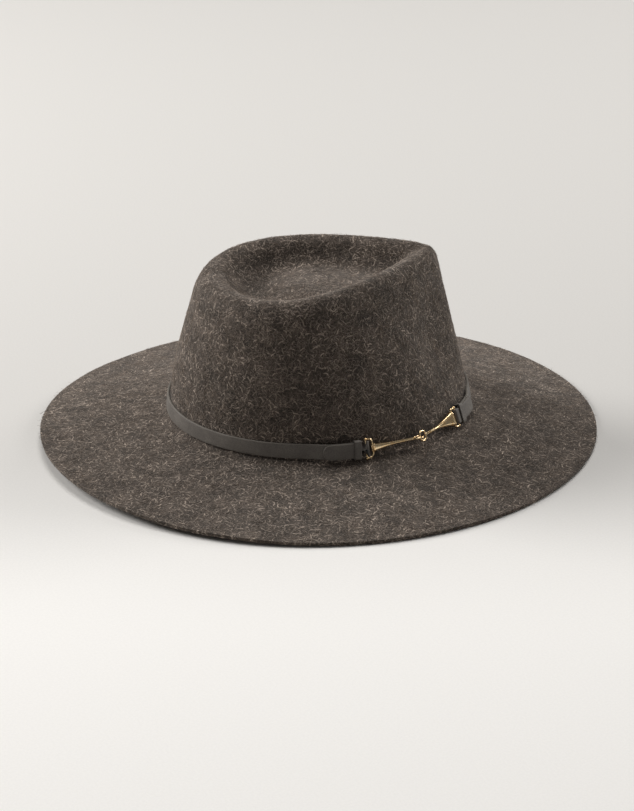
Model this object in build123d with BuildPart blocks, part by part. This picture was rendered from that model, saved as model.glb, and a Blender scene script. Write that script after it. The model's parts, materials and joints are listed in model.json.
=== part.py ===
"""Wide-brim felt fedora with a teardrop crown and a slip-on leather band joined by a jointed metal bit.

Frame: +Z up, the wearer faces -Y, the wearer's right side is -X. The origin is on the surface that
the hat stands on, below the centre of the head opening. All sizes are in millimetres.
An angle t runs round the hat from the front (0) towards the wearer's left (+X); minus is the right.
"""

from build123d import *
from math import cos, degrees, exp, hypot, pi, radians, sin
import os

os.makedirs("parts", exist_ok=True)

# Brim
BRIM_HALF_LENGTH = 184.0
BRIM_HALF_WIDTH = 175.0
BRIM_DROP = 14.8  # from the crown's foot down to the brim's edge
BRIM_BACK_RISE = 6.0  # how far the back edge curls up again
BRIM_RISE_START = 102.0  # degrees from the front where that curl begins
BRIM_BOW = 0.92  # 1 is a straight cone, less is a brim that bows upwards

# Felt
FELT = 2.2
BRIM_SLOPE = 1.015  # the felt's upright thickness on the sloping brim, over its own
FOOT_FILLET = 3.0  # between the brim's top and the crown's wall
WALL_LEAN = 1.04  # the wall's level thickness where it leans, over its own

# Crown
FOOT_HALF_LENGTH = 99.8
FOOT_HALF_WIDTH = 91.1
RIDGE_FRONT = 75.0  # teardrop ridge, from the hat's centre to its front tip
RIDGE_BACK = 69.5
RIDGE_HALF_WIDTH = 54.0
RIDGE_TAPER = 1.35  # 0 is an oval, more draws the front tip in further
RIDGE_TIP = 0.2  # how round that tip is
WIDTH_TESTS = 90  # how finely the ridge's widest place is looked for
RIDGE_HEIGHT_FRONT = 99.6  # above the crown's foot
RIDGE_HEIGHT_BACK = 92.9
RIDGE_HEIGHT_SIDE = 3.7  # extra height at the sides
RIM_ROUND_FRONT = 8.0  # how far the shoulder stands outside the ridge
RIM_ROUND_SIDE = 11.0
RIM_ROUND_BACK = 14.0
RIM_STEEPNESS = 1.7
SHOULDER_ANGLE = 76.0
WALL_BULGE = 2.2
DENT_DEPTH = 8.0  # front pinches
DENT_ANGLE = 42.0
DENT_SPREAD = 19.0
DENT_SHARPNESS = 1.6  # how quickly the pinch fades up and down the wall
DENT_LOW = 0.5  # its share of the depth at the foot
DENT_RISE = 0.85  # and what that gains by the shoulder
CREASE_DEPTH = 15.0  # teardrop crease in the crown's top
CREASE_CENTRE = 8.0  # behind the ridge's middle
CREASE_DOME = 3.0

# Where the felt's rows lie
BRIM_OVERSHOOT = 1.3  # rows past the brim's edge, which is then cut to its ellipse
BRIM_OVERSHOOT_DROP = 17.0
BRIM_SHARES = (1.12, 1.0, 0.82, 0.64, 0.46, 0.28, 0.13, 0.05)
FILLET_OUT = 0.32  # of the fillet's size
FILLET_UP = 0.25
WALL_SHARES = (0.035, 0.12, 0.24, 0.37, 0.5, 0.63, 0.76, 0.88, 1.0)
RIM_ANGLES = (58, 39, 20, 0, -18)
CREASE_ROWS = ((0.84, 0.28), (0.75, 0.66), (0.64, 0.93), (0.51, 1.0))  # width, share of the depth
FLOOR_ROWS = ((0.36, 0.5), (0.2, 1.0))  # width, how level
ROW_GATHER = 0.45  # how much closer the points lie at the front, where the ridge's tip is sharp

# Hat band: strap, turned-back tongues and keepers
STRAP_WIDTH = 9.5
STRAP_THICKNESS = 1.4
STRAP_GAP = 0.3  # between the strap and the felt
STRAP_FOOT = 3.1  # the strap's lower edge, above the crown's foot
STRAP_LIFT = 2.2  # where the keepers pass behind the strap
LIFT_FULL = 60.0  # along the strap from the middle link
LIFT_END = 76.0
TONGUE_TIP = 64.8
TONGUE_CORNER = 4.2
TONGUE_MARGIN = 1.04  # the tongue's outline is this much wider than the leaning strap
TONGUE_WINDOW = 15.0
KEEPER_ARC = 43.7  # from the middle link to each keeper's middle
KEEPER_WIDTH = 4.5
KEEPER_WALL = 0.8
KEEPER_GAP = 0.3
FOLD_TAIL = 3.4  # behind the pin, where the fold has become two flat layers
LAYER_END = 2.4  # behind the pin, where those layers begin
GAP_HALF_DEPTH = 9.0  # the cutter that opens the strap at the bit, at the pins and in the middle
GAP_MIDDLE_DEPTH = 12.0

# Jointed bit
BIT_ANGLE = -71.6  # where the middle link sits
BIT_PIN_ARC = 38.0  # from the middle link to each cross pin, along the strap
PIN_RADIUS = 0.5
PIN_RUNNING_GAP = 0.05
EYE_STAND_OFF = 5.5  # from the felt to the middle link's centre
EYE_RADIUS = 3.1
EYE_WIRE = 0.65
EYE_SLACK = 1.0
ARM_RADIUS = 0.6
ARM_GAP = 0.7  # between an arm and the strap's edge
KNOB_RADIUS = 0.95
KNOB_CORNER = 0.4
SHAFT_RADIUS = 1.0
FLARE_END = 17.1  # from the cross pin towards the link, where the bell's flare has died out
MOUTH = 5.9  # from the cross pin to the bell's mouth
LIP_LENGTH = 1.1
BELL_HALF_DEPTH = 2.3  # the bell is flat at front and back
CUP_WALL = 0.9
CUP_DEPTH = 3.0
WAIST = 0.45  # where the bell's sides are hollowest, and its share of the height there
NECK = 0.8  # the shaft's share of its radius towards the eye

# Sweatband and trim inside the crown
SWEAT_HEIGHT = 32.0
SWEAT_THICKNESS = 1.1
SWEAT_GAP = 0.45
SWEAT_FOOT = 1.2  # above the crown's foot
REED_HEIGHT = 1.8
REED_THICKNESS = 1.6
REED_GAP = 0.1
SEAM_TAPE_WIDTH = 13.0
SEAM_TAPE_MARGIN = 1.5  # from the sweatband's two edges
SEAM_TAPE_THICKNESS = 0.5
TRIM_GAP = 0.1
BOW_LENGTH = 15.0
BOW_HEIGHT = 6.0
BOW_THICKNESS = 1.2
KNOT_SIZE = 3.2
BOW_UP = 7.0  # above the sweatband's lower edge
BOW_STAND_OFF = 0.5
SIZE_TAB_WIDTH = 20.0
SIZE_TAB_HEIGHT = 9.0
SIZE_TAB_THICKNESS = 0.3
SIZE_TAB_ANGLE = 158.0
PATCH_WINDOW = 30.0  # deep enough to cut a patch from its ring on one side only

# Worked out from the above
FOOT_Z = BRIM_DROP + FELT * BRIM_SLOPE
STRAP_Z = FOOT_Z + STRAP_FOOT
STRAP_MID_Z = STRAP_Z + STRAP_WIDTH / 2
STRAP_STACK = 2 * STRAP_THICKNESS
PIN_STAND_OFF = STRAP_GAP + STRAP_LIFT + STRAP_STACK / 2
SWEAT_Z = FOOT_Z + SWEAT_FOOT
ARM_HEIGHT = STRAP_WIDTH / 2 + ARM_GAP + ARM_RADIUS
SKIN_POINTS = 28
STRAP_POINTS = 44
STRAP_GATHER = 0.6  # how much closer the points lie round the bit
TURN_STEP = 0.002  # small turns and heights that directions on the wall are read from
ROW_TURN = 0.02
PLANE_TURN = 0.01
WALK_STEP = 0.05  # degrees, for walking along the strap
PLANE_RISE = 2.0
CUT = 1.0  # how far a cutter stands past what it cuts
SWEAT_POINTS = 28


def mix(low, high, share):
    """A value between low and high."""
    return low + (high - low) * share


def turn_from_front(t):
    """How far t is from the front, 0 to 180 degrees."""
    return abs((degrees(t) + 180) % 360 - 180)


def frontness(t):
    """1 at the front, 0 at the back."""
    return (1 + cos(t)) / 2


def teardrop(t):
    """Half-width share of the ridge: an oval drawn to a rounded tip at the front."""

    def drawn(angle):
        return sin(angle) * mix(abs(sin(angle / 2)) ** RIDGE_TAPER, 1.0, RIDGE_TIP)

    return drawn(t) / max(drawn(pi * i / WIDTH_TESTS) for i in range(WIDTH_TESTS + 1))


def ridge_height(t):
    return mix(RIDGE_HEIGHT_BACK, RIDGE_HEIGHT_FRONT, frontness(t)) + RIDGE_HEIGHT_SIDE * sin(t) ** 2


def rim_round(t):
    ends = mix(RIM_ROUND_BACK, RIM_ROUND_FRONT, frontness(t))
    middle = (RIM_ROUND_BACK + RIM_ROUND_FRONT) / 2
    return ends - (middle - RIM_ROUND_SIDE) * sin(t) ** 2


def brim_point(t, share):
    """The brim's top: share 0 at the crown's foot, 1 at the brim's edge."""
    past = max(0.0, turn_from_front(t) - BRIM_RISE_START) / (180 - BRIM_RISE_START)
    rise = BRIM_BACK_RISE * sin(past * pi / 2) ** 2 * share**2
    length = mix(FOOT_HALF_LENGTH, BRIM_HALF_LENGTH, share)
    width = mix(FOOT_HALF_WIDTH, BRIM_HALF_WIDTH, share)
    z = FOOT_Z - BRIM_DROP * share**BRIM_BOW + rise
    return Vector(width * sin(t), -length * cos(t), z)


def rim_point(t, angle):
    """The rounded rim: angle 0 on the ridge, SHOULDER_ANGLE where the wall takes over."""
    reach = rim_round(t)
    out = reach * sin(radians(angle))
    middle = (RIDGE_BACK - RIDGE_FRONT) / 2
    half = (RIDGE_BACK + RIDGE_FRONT) / 2
    drop = RIM_STEEPNESS * reach * (1 - cos(radians(angle)))
    x = RIDGE_HALF_WIDTH * teardrop(t) + out * sin(t)
    y = middle - half * cos(t) - out * cos(t)
    return Vector(x, y, FOOT_Z + ridge_height(t) - drop)


def wall_point(t, share):
    """The crown's outer wall: share 0 at its foot, 1 at the shoulder."""
    share = max(share, 0.0)
    top = rim_point(t, SHOULDER_ANGLE)
    x = mix(FOOT_HALF_WIDTH * sin(t), top.X, share)
    y = mix(-FOOT_HALF_LENGTH * cos(t), top.Y, share)
    near = (turn_from_front(t) - DENT_ANGLE) / DENT_SPREAD
    fade = sin(pi * share) ** DENT_SHARPNESS * (DENT_LOW + DENT_RISE * share)
    dent = DENT_DEPTH * fade * exp(-near * near)
    bulge = WALL_BULGE * sin(pi * share**0.8) * (1 - 0.3 * frontness(t))
    push = bulge - dent
    return Vector(x + push * sin(t), y - push * cos(t), mix(FOOT_Z, top.Z, share))


def crease_point(t, scale, drop):
    """The teardrop crease inside the ridge, drop below it."""
    middle = (RIDGE_BACK - RIDGE_FRONT) / 2
    half = (RIDGE_BACK + RIDGE_FRONT) / 2
    centre = middle + CREASE_CENTRE
    x = RIDGE_HALF_WIDTH * teardrop(t) * scale
    y = centre + (middle - half * cos(t) - centre) * scale
    return Vector(x, y, FOOT_Z + ridge_height(t) - drop)


def crease_floor(t, scale, flatness):
    """The crease's floor, which domes up to a level middle."""
    point = crease_point(t, scale, CREASE_DEPTH)
    level = FOOT_Z + ridge_height(pi / 2) - RIDGE_HEIGHT_SIDE / 2 - CREASE_DEPTH + CREASE_DOME
    return Vector(point.X, point.Y, mix(point.Z, level, flatness))


def fillet_point(t, share, out, up):
    """A point in the fillet at the crown's foot."""
    base = wall_point(t, share)
    return Vector(base.X + out * sin(t), base.Y - out * cos(t), FOOT_Z + up)


def skin_rows():
    """The felt's outer skin as rows round the hat, from beyond the brim's edge to the crown's middle."""
    low = FOOT_Z - BRIM_DROP - BRIM_OVERSHOOT_DROP
    rows = [lambda t: Vector(*tuple(brim_point(t, BRIM_OVERSHOOT))[:2], low)]
    for share in BRIM_SHARES:
        rows.append(lambda t, share=share: brim_point(t, share))
    rows.append(lambda t: fillet_point(t, 0.0, FOOT_FILLET * FILLET_OUT, FOOT_FILLET * FILLET_UP))
    for share in WALL_SHARES:
        rows.append(lambda t, share=share: wall_point(t, share))
    for angle in RIM_ANGLES:
        rows.append(lambda t, angle=angle: rim_point(t, angle))
    for scale, share in CREASE_ROWS:
        rows.append(lambda t, scale=scale, share=share: crease_point(t, scale, CREASE_DEPTH * share))
    for scale, flatness in FLOOR_ROWS:
        rows.append(lambda t, scale=scale, flatness=flatness: crease_floor(t, scale, flatness))
    return rows


def inward(rows, index, t, depth):
    """A point of the skin moved depth into the felt, square to the skin."""
    here = rows[index](t)
    before = rows[max(index - 1, 0)](t)
    after = rows[min(index + 1, len(rows) - 1)](t)
    along = rows[index](t + ROW_TURN) - rows[index](t - ROW_TURN)
    if index == 0 or index == len(rows) - 1:
        return Vector(here.X, here.Y, here.Z - depth)
    first = here - before
    second = after - here
    up = first * (second.length / first.length) + second * (first.length / second.length)
    return here - along.cross(up).normalized() * depth


def ring_angles(count, gather):
    """Angles of a whole turn, closer together at its start by gather, or at its middle if negative."""
    steps = [2 * pi * i / count for i in range(count)]
    return [step - gather * sin(step) for step in steps]


def skin_solid(depth):
    """Everything under the felt's outer skin, moved depth into the felt."""
    rows = skin_rows()
    wires = []
    for index in range(len(rows)):
        points = [inward(rows, index, t, depth) for t in ring_angles(SKIN_POINTS, ROW_GATHER)]
        wires.append(Wire([Edge.make_spline(points, periodic=True)]))
    return Solid.make_loft(wires)


def wall_at(t, z, out=0.0):
    """The crown wall's outer skin at height z, moved out square to it."""

    def on_wall(angle):
        top = rim_point(angle, SHOULDER_ANGLE)
        return wall_point(angle, (z - FOOT_Z) / (top.Z - FOOT_Z))

    here = on_wall(t)
    along = on_wall(t + TURN_STEP) - on_wall(t - TURN_STEP)
    size = hypot(along.X, along.Y)
    return Vector(here.X + out * along.Y / size, here.Y - out * along.X / size, z)


def strap_angle(arc):
    """The angle t at a distance along the strap from the middle link, plus towards the front."""
    t = radians(BIT_ANGLE)
    step = radians(WALK_STEP if arc > 0 else -WALK_STEP)
    left = abs(arc)
    here = wall_at(t, STRAP_MID_Z, STRAP_GAP)
    while left > 0:
        there = wall_at(t + step, STRAP_MID_Z, STRAP_GAP)
        left -= (there - here).length
        here = there
        t += step
    return t


ANGLE_AT = {arc: strap_angle(arc) for arc in (-LIFT_END, -LIFT_FULL, LIFT_FULL, LIFT_END)}


def strap_lift(t):
    """How far the strap stands off the felt round the bit, easing to nothing."""
    middle = radians(BIT_ANGLE)
    side = 1 if t > middle else -1
    full = abs(ANGLE_AT[side * LIFT_FULL] - middle)
    end = abs(ANGLE_AT[side * LIFT_END] - middle)
    away = abs(t - middle)
    if away <= full:
        return STRAP_LIFT
    if away >= end:
        return 0.0
    return STRAP_LIFT * (1 + cos(pi * (away - full) / (end - full))) / 2


def strap_ring(z_low, z_high, out):
    """Everything inside a ring that follows the crown's wall, out from the felt, with the strap's lift."""
    middle = radians(BIT_ANGLE)
    angles = [middle + t - pi for t in ring_angles(STRAP_POINTS, -STRAP_GATHER)]
    wires = []
    for z in (z_low, z_high):
        points = [wall_at(t, z, out + strap_lift(t)) for t in angles]
        wires.append(Wire([Edge.make_spline(points, periodic=True)]))
    return Solid.make_loft(wires, ruled=True)


def sweat_at(t, z, out):
    """The sweatband's line at height z: straight up between its two edges on the crown's wall."""
    low = wall_at(t, SWEAT_Z, out)
    high = wall_at(t, SWEAT_Z + SWEAT_HEIGHT, out)
    return low + (high - low) * ((z - SWEAT_Z) / SWEAT_HEIGHT)


def sweat_ring(z_low, z_high, out):
    """Everything inside a ring that follows the sweatband's line, out from the crown's outer skin."""
    wires = []
    for z in (z_low, z_high):
        points = [sweat_at(t, z, out) for t in ring_angles(SWEAT_POINTS, 0.0)]
        wires.append(Wire([Edge.make_spline(points, periodic=True)]))
    return Solid.make_loft(wires, ruled=True)


def sweat_plane(t, z, out):
    """A plane on the sweatband's line: x towards larger t, y up, z out from the felt."""
    up = (sweat_at(t, z + PLANE_RISE, out) - sweat_at(t, z - PLANE_RISE, out)).normalized()
    along = sweat_at(t + PLANE_TURN, z, out) - sweat_at(t - PLANE_TURN, z, out)
    return Plane(origin=sweat_at(t, z, out), x_dir=along, z_dir=along.cross(up))


def wall_plane(t, z, out):
    """A plane on the crown's wall: x towards larger t, y up the wall, z out from the felt."""
    here = wall_at(t, z, out)
    up = (wall_at(t, z + PLANE_RISE, out) - wall_at(t, z - PLANE_RISE, out)).normalized()
    along = wall_at(t + PLANE_TURN, z, out) - wall_at(t - PLANE_TURN, z, out)
    return Plane(origin=here, x_dir=along, z_dir=along.cross(up))


def bit_frame(side):
    """A cross pin's frame: x towards the middle link, y out from the felt, z along the pin."""
    link = wall_plane(radians(BIT_ANGLE), STRAP_MID_Z, EYE_STAND_OFF).origin
    wall = wall_plane(strap_angle(side * BIT_PIN_ARC), STRAP_MID_Z, PIN_STAND_OFF)
    towards = (link - wall.origin).normalized()
    return Plane(origin=wall.origin, x_dir=towards, z_dir=towards.cross(wall.z_dir))


def bit_reach(side):
    """From a cross pin to the middle link's centre."""
    link = wall_plane(radians(BIT_ANGLE), STRAP_MID_Z, EYE_STAND_OFF).origin
    return (link - bit_frame(side).origin).length


def across(frame, distance):
    """A plane square to a bit half, at a distance from its cross pin: x out, y along the pin."""
    origin = frame.origin + frame.x_dir * distance
    return Plane(origin=origin, x_dir=frame.y_dir, z_dir=frame.x_dir)


def slice_of_ring(z_low, z_high, out_near, out_far, t, width):
    """A patch that follows the sweatband's line: between two offsets, centred on t."""
    plane = sweat_plane(t, (z_low + z_high) / 2, 0)
    window = Plane(origin=(plane.origin.X, plane.origin.Y, z_low), x_dir=plane.x_dir, z_dir=(0, 0, 1))
    ring = sweat_ring(z_low, z_high, out_far) - sweat_ring(z_low - CUT, z_high + CUT, out_near)
    return ring & extrude(window * Rectangle(width, PATCH_WINDOW), amount=z_high - z_low)


def tongue(side):
    """The strap's turned-back end, a second layer with a rounded tip."""
    ring = strap_ring(STRAP_Z, STRAP_Z + STRAP_WIDTH, STRAP_GAP + STRAP_STACK)
    ring -= strap_ring(STRAP_Z - CUT, STRAP_Z + STRAP_WIDTH + CUT, STRAP_GAP + STRAP_THICKNESS / 2)
    middle = (TONGUE_TIP + BIT_PIN_ARC) / 2
    plane = wall_plane(strap_angle(side * middle), STRAP_MID_Z, 0)
    length = (TONGUE_TIP - middle) * 3  # well past the pin, where the strap is cut open later
    place = plane * Pos(side * ((TONGUE_TIP - middle) - length / 2), 0)
    outline = RectangleRounded(length, STRAP_WIDTH * TONGUE_MARGIN, TONGUE_CORNER)
    return ring & extrude(place * outline, amount=TONGUE_WINDOW)


def bit_half(side, eye_turn):
    """One half of the jointed bit: fork, bell, shaft and eye."""
    frame = bit_frame(side)
    eye = bit_reach(side) - (EYE_RADIUS - EYE_WIRE - EYE_SLACK / 2)
    neck = eye - EYE_RADIUS
    lip = ARM_HEIGHT + ARM_RADIUS
    sections = (
        (MOUTH, BELL_HALF_DEPTH, lip),
        (mix(MOUTH, FLARE_END, WAIST), mix(BELL_HALF_DEPTH, SHAFT_RADIUS, WAIST), lip * WAIST),
        (FLARE_END, SHAFT_RADIUS, SHAFT_RADIUS),
    )
    with BuildPart() as half:
        for x, half_depth, half_height in sections:
            with BuildSketch(across(frame, x)):
                Rectangle(2 * half_depth, 2 * half_height)
        loft(ruled=True)
        with BuildSketch(across(frame, MOUTH)):
            Rectangle(2 * BELL_HALF_DEPTH - 2 * CUP_WALL, 2 * lip - 4 * CUP_WALL)
        extrude(amount=CUP_DEPTH, mode=Mode.SUBTRACT)
        for level in (-ARM_HEIGHT, ARM_HEIGHT):
            with BuildSketch(across(frame, -KNOB_RADIUS)):
                with Locations((0, level)):
                    RectangleRounded(2 * KNOB_RADIUS, 2 * KNOB_RADIUS, KNOB_CORNER)
            extrude(amount=2 * KNOB_RADIUS)
            with BuildSketch(across(frame, 0)):
                with Locations((0, level)):
                    Rectangle(2 * ARM_RADIUS, 2 * ARM_RADIUS)
            extrude(amount=MOUTH + LIP_LENGTH / 2)
        with BuildSketch(across(frame, FLARE_END - LIP_LENGTH)):
            Circle(SHAFT_RADIUS * NECK)
        extrude(amount=neck + EYE_WIRE - FLARE_END + LIP_LENGTH)
        with Locations(frame * Location((eye, 0, 0))):
            Torus(EYE_RADIUS, EYE_WIRE, rotation=(eye_turn, 0, 0))
    return half.part


def cross_pin(side):
    """The pin that the strap's end folds round, pressed into the fork's two knobs."""
    with BuildPart(bit_frame(side)) as pin:
        Cylinder(PIN_RADIUS, 2 * ARM_HEIGHT)
    return pin.part


def keeper(side):
    """A loop of leather round the strap and its tongue."""
    t = strap_angle(side * KEEPER_ARC)
    near = STRAP_GAP + STRAP_LIFT
    plane = wall_plane(t, STRAP_MID_Z, near)
    section = Plane(origin=plane.origin, x_dir=plane.z_dir, z_dir=plane.x_dir)
    top = STRAP_Z + STRAP_WIDTH
    edges = ((STRAP_Z, near), (STRAP_Z, near + STRAP_STACK), (top, near + STRAP_STACK), (top, near))
    corners = [section.to_local_coords(wall_at(t, z, out)) for z, out in edges]
    with BuildPart() as loop:
        with BuildSketch(section):
            Polygon(*[(corner.X, corner.Y) for corner in corners], align=None)
            offset(amount=KEEPER_GAP + KEEPER_WALL)
        extrude(amount=KEEPER_WIDTH / 2, both=True)
        with BuildSketch(section):
            Polygon(*[(corner.X, corner.Y) for corner in corners], align=None)
            offset(amount=KEEPER_GAP, kind=Kind.INTERSECTION)
        extrude(amount=KEEPER_WIDTH, both=True, mode=Mode.SUBTRACT)
    return loop.part


def finish(part, label):
    """Names a piece and writes it."""
    part.label = label
    export_step(part, f"parts/{label}.step")


# The felt body: crown and brim are one blocked felt
with BuildPart() as felt_body:
    add(skin_solid(0.0))
    add(skin_solid(FELT), mode=Mode.SUBTRACT)
    with BuildSketch(Plane.XY.offset(-FELT)):
        Ellipse(BRIM_HALF_WIDTH, BRIM_HALF_LENGTH)
    extrude(amount=FOOT_Z + 2 * RIDGE_HEIGHT_FRONT, mode=Mode.INTERSECT)
finish(felt_body.part, "felt_body")

# The sweatband: a leather ring inside the head opening, and what is sewn to it
SWEAT_OUT = -FELT * WALL_LEAN - SWEAT_GAP
SWEAT_IN = SWEAT_OUT - SWEAT_THICKNESS
with BuildPart() as sweatband:
    add(sweat_ring(SWEAT_Z, SWEAT_Z + SWEAT_HEIGHT, SWEAT_OUT))
    add(sweat_ring(SWEAT_Z - CUT, SWEAT_Z + SWEAT_HEIGHT + CUT, SWEAT_IN), mode=Mode.SUBTRACT)
finish(sweatband.part, "sweatband")

REED_TOP = SWEAT_Z - REED_GAP
with BuildPart() as sweatband_reed:
    add(sweat_ring(REED_TOP - REED_HEIGHT, REED_TOP, SWEAT_OUT))
    add(
        sweat_ring(REED_TOP - REED_HEIGHT - CUT, REED_TOP + CUT, SWEAT_OUT - REED_THICKNESS),
        mode=Mode.SUBTRACT,
    )
finish(sweatband_reed.part, "sweatband_reed")

TAPE_OUT = SWEAT_IN - TRIM_GAP
TAPE_LOW = SWEAT_Z + SEAM_TAPE_MARGIN
TAPE_HIGH = SWEAT_Z + SWEAT_HEIGHT - SEAM_TAPE_MARGIN
TAPE = slice_of_ring(TAPE_LOW, TAPE_HIGH, TAPE_OUT - SEAM_TAPE_THICKNESS, TAPE_OUT, pi, SEAM_TAPE_WIDTH)
with BuildPart() as sweatband_seam_tape:
    add(TAPE)
finish(sweatband_seam_tape.part, "sweatband_seam_tape")

TAB_HIGH = TAPE_LOW + SIZE_TAB_HEIGHT
TAB_IN = TAPE_OUT - SIZE_TAB_THICKNESS
TAB = slice_of_ring(TAPE_LOW, TAB_HIGH, TAB_IN, TAPE_OUT, radians(SIZE_TAB_ANGLE), SIZE_TAB_WIDTH)
with BuildPart() as size_tab:
    add(TAB)
finish(size_tab.part, "size_tab")

BOW_PLANE = sweat_plane(pi, SWEAT_Z + BOW_UP, TAPE_OUT - SEAM_TAPE_THICKNESS - BOW_STAND_OFF)
with BuildPart() as sweatband_bow:
    with BuildSketch(BOW_PLANE):
        Polygon(
            (-BOW_LENGTH / 2, -BOW_HEIGHT / 2),
            (0, -BOW_HEIGHT / 6),
            (BOW_LENGTH / 2, -BOW_HEIGHT / 2),
            (BOW_LENGTH / 2, BOW_HEIGHT / 2),
            (0, BOW_HEIGHT / 6),
            (-BOW_LENGTH / 2, BOW_HEIGHT / 2),
        )
    extrude(amount=-BOW_THICKNESS)
    with BuildSketch(BOW_PLANE):
        RectangleRounded(KNOT_SIZE, KNOT_SIZE, KNOT_SIZE / 4)
    extrude(amount=-BOW_THICKNESS * 1.5)
finish(sweatband_bow.part, "sweatband_bow")

# The band's strap: a ring open at the bit, each end folded out round a cross pin and turned back
TONGUES = [tongue(-1), tongue(1)]
with BuildPart() as band_strap:
    add(strap_ring(STRAP_Z, STRAP_Z + STRAP_WIDTH, STRAP_GAP + STRAP_THICKNESS))
    add(strap_ring(STRAP_Z - CUT, STRAP_Z + STRAP_WIDTH + CUT, STRAP_GAP), mode=Mode.SUBTRACT)
    add(TONGUES)
    rear, front = bit_frame(-1), bit_frame(1)
    link = wall_plane(radians(BIT_ANGLE), STRAP_MID_Z, EYE_STAND_OFF)
    with BuildSketch(Plane.XY.offset(STRAP_Z - 2 * CUT)):
        rear_end = rear.origin - rear.x_dir * LAYER_END
        front_end = front.origin - front.x_dir * LAYER_END
        corners = [
            rear_end - rear.y_dir * GAP_HALF_DEPTH,
            link.origin - link.z_dir * GAP_MIDDLE_DEPTH,
            front_end - front.y_dir * GAP_HALF_DEPTH,
            front_end + front.y_dir * GAP_HALF_DEPTH,
            link.origin + link.z_dir * GAP_MIDDLE_DEPTH,
            rear_end + rear.y_dir * GAP_HALF_DEPTH,
        ]
        Polygon(*[(corner.X, corner.Y) for corner in corners], align=None)
    extrude(amount=STRAP_WIDTH + 4 * CUT, mode=Mode.SUBTRACT)
    for frame in (rear, front):
        fold_radius = PIN_RADIUS + PIN_RUNNING_GAP + STRAP_THICKNESS
        with BuildSketch(frame):
            Circle(fold_radius)
            Polygon(
                (0, fold_radius),
                (-FOLD_TAIL, STRAP_STACK / 2),
                (-FOLD_TAIL, -STRAP_STACK / 2),
                (0, -fold_radius),
                align=None,
            )
            Circle(PIN_RADIUS + PIN_RUNNING_GAP, mode=Mode.SUBTRACT)
        extrude(amount=STRAP_WIDTH / 2, both=True)
finish(band_strap.part, "band_strap")

# What moves on the strap: two keepers, and the bit's halves with their cross pins
finish(keeper(-1), "rear_keeper")
finish(keeper(1), "front_keeper")
finish(bit_half(-1, 0), "rear_bit_half")
finish(bit_half(1, 90), "front_bit_half")
finish(cross_pin(-1), "rear_cross_pin")
finish(cross_pin(1), "front_cross_pin")
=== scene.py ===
"""A wide-brim wool felt hat with a teardrop crown, and a slip-on leather band closed by a jointed bit.

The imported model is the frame: +Z is up, the wearer faces -Y and the wearer's right side, with the
bit, is -X. Sizes below are in millimetres, and an angle t runs round the hat from the front (0)
towards the wearer's left. Points are turned to metres where they are placed.
"""

import json
import math

import bmesh
import bpy
import numpy as np
from mathutils import Matrix, Vector, noise

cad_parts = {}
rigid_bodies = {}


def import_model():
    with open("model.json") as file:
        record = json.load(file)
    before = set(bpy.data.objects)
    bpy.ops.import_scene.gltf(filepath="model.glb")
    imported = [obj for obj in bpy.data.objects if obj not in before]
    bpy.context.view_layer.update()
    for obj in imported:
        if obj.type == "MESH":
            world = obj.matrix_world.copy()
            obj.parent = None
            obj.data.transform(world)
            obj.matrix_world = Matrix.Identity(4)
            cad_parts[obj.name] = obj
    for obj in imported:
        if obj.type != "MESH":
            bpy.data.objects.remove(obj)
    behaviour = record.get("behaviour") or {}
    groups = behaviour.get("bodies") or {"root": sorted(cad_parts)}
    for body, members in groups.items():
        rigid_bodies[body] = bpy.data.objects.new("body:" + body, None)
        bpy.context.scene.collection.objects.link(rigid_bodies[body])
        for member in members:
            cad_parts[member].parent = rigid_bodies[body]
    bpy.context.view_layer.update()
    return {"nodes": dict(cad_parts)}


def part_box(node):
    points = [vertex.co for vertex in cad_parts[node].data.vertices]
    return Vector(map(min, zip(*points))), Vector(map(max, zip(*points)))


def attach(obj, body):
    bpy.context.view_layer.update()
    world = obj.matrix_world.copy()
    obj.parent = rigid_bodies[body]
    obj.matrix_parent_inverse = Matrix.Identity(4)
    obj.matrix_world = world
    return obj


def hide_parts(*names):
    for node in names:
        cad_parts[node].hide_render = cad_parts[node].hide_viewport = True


bl_info = {
    "name": "Felt hat with a bit band",
    "version": (1, 0, 0),
    "blender": (4, 5, 0),
    "location": "3D View > Sidebar > Hat",
    "description": "Makes the felt, its loose fibres, the leather band, the metal bit and the inside trim",
    "category": "Add Mesh",
}

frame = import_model()
MM = 0.001
BRIM_LOW, BRIM_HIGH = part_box("felt_body")
TAU = 2 * math.pi

# Brim and felt
BRIM_HALF_LENGTH = (BRIM_HIGH.y - BRIM_LOW.y) / 2 / MM
BRIM_HALF_WIDTH = (BRIM_HIGH.x - BRIM_LOW.x) / 2 / MM
BRIM_DROP = 14.8
BRIM_BACK_RISE = 6.0
BRIM_RISE_START = 102.0
BRIM_BOW = 0.92
FELT = 2.2
FOOT_FILLET = 3.0
FOOT_Z = BRIM_DROP + FELT * 1.015

# Crown
FOOT_HALF_LENGTH = 99.8
FOOT_HALF_WIDTH = 91.1
RIDGE_FRONT = 75.0
RIDGE_BACK = 69.5
RIDGE_HALF_WIDTH = 54.0
RIDGE_TAPER = 1.35
RIDGE_TIP = 0.2
RIDGE_HEIGHT_FRONT = 99.6
RIDGE_HEIGHT_BACK = 92.9
RIDGE_HEIGHT_SIDE = 3.7
RIM_ROUND_FRONT = 8.0
RIM_ROUND_SIDE = 11.0
RIM_ROUND_BACK = 14.0
RIM_STEEPNESS = 1.7
SHOULDER_ANGLE = 76.0
WALL_BULGE = 2.2
DENT_DEPTH = 8.0
DENT_ANGLE = 42.0
DENT_SPREAD = 19.0
CREASE_DEPTH = 15.0
CREASE_CENTRE = 8.0
CREASE_DOME = 3.0

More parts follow.
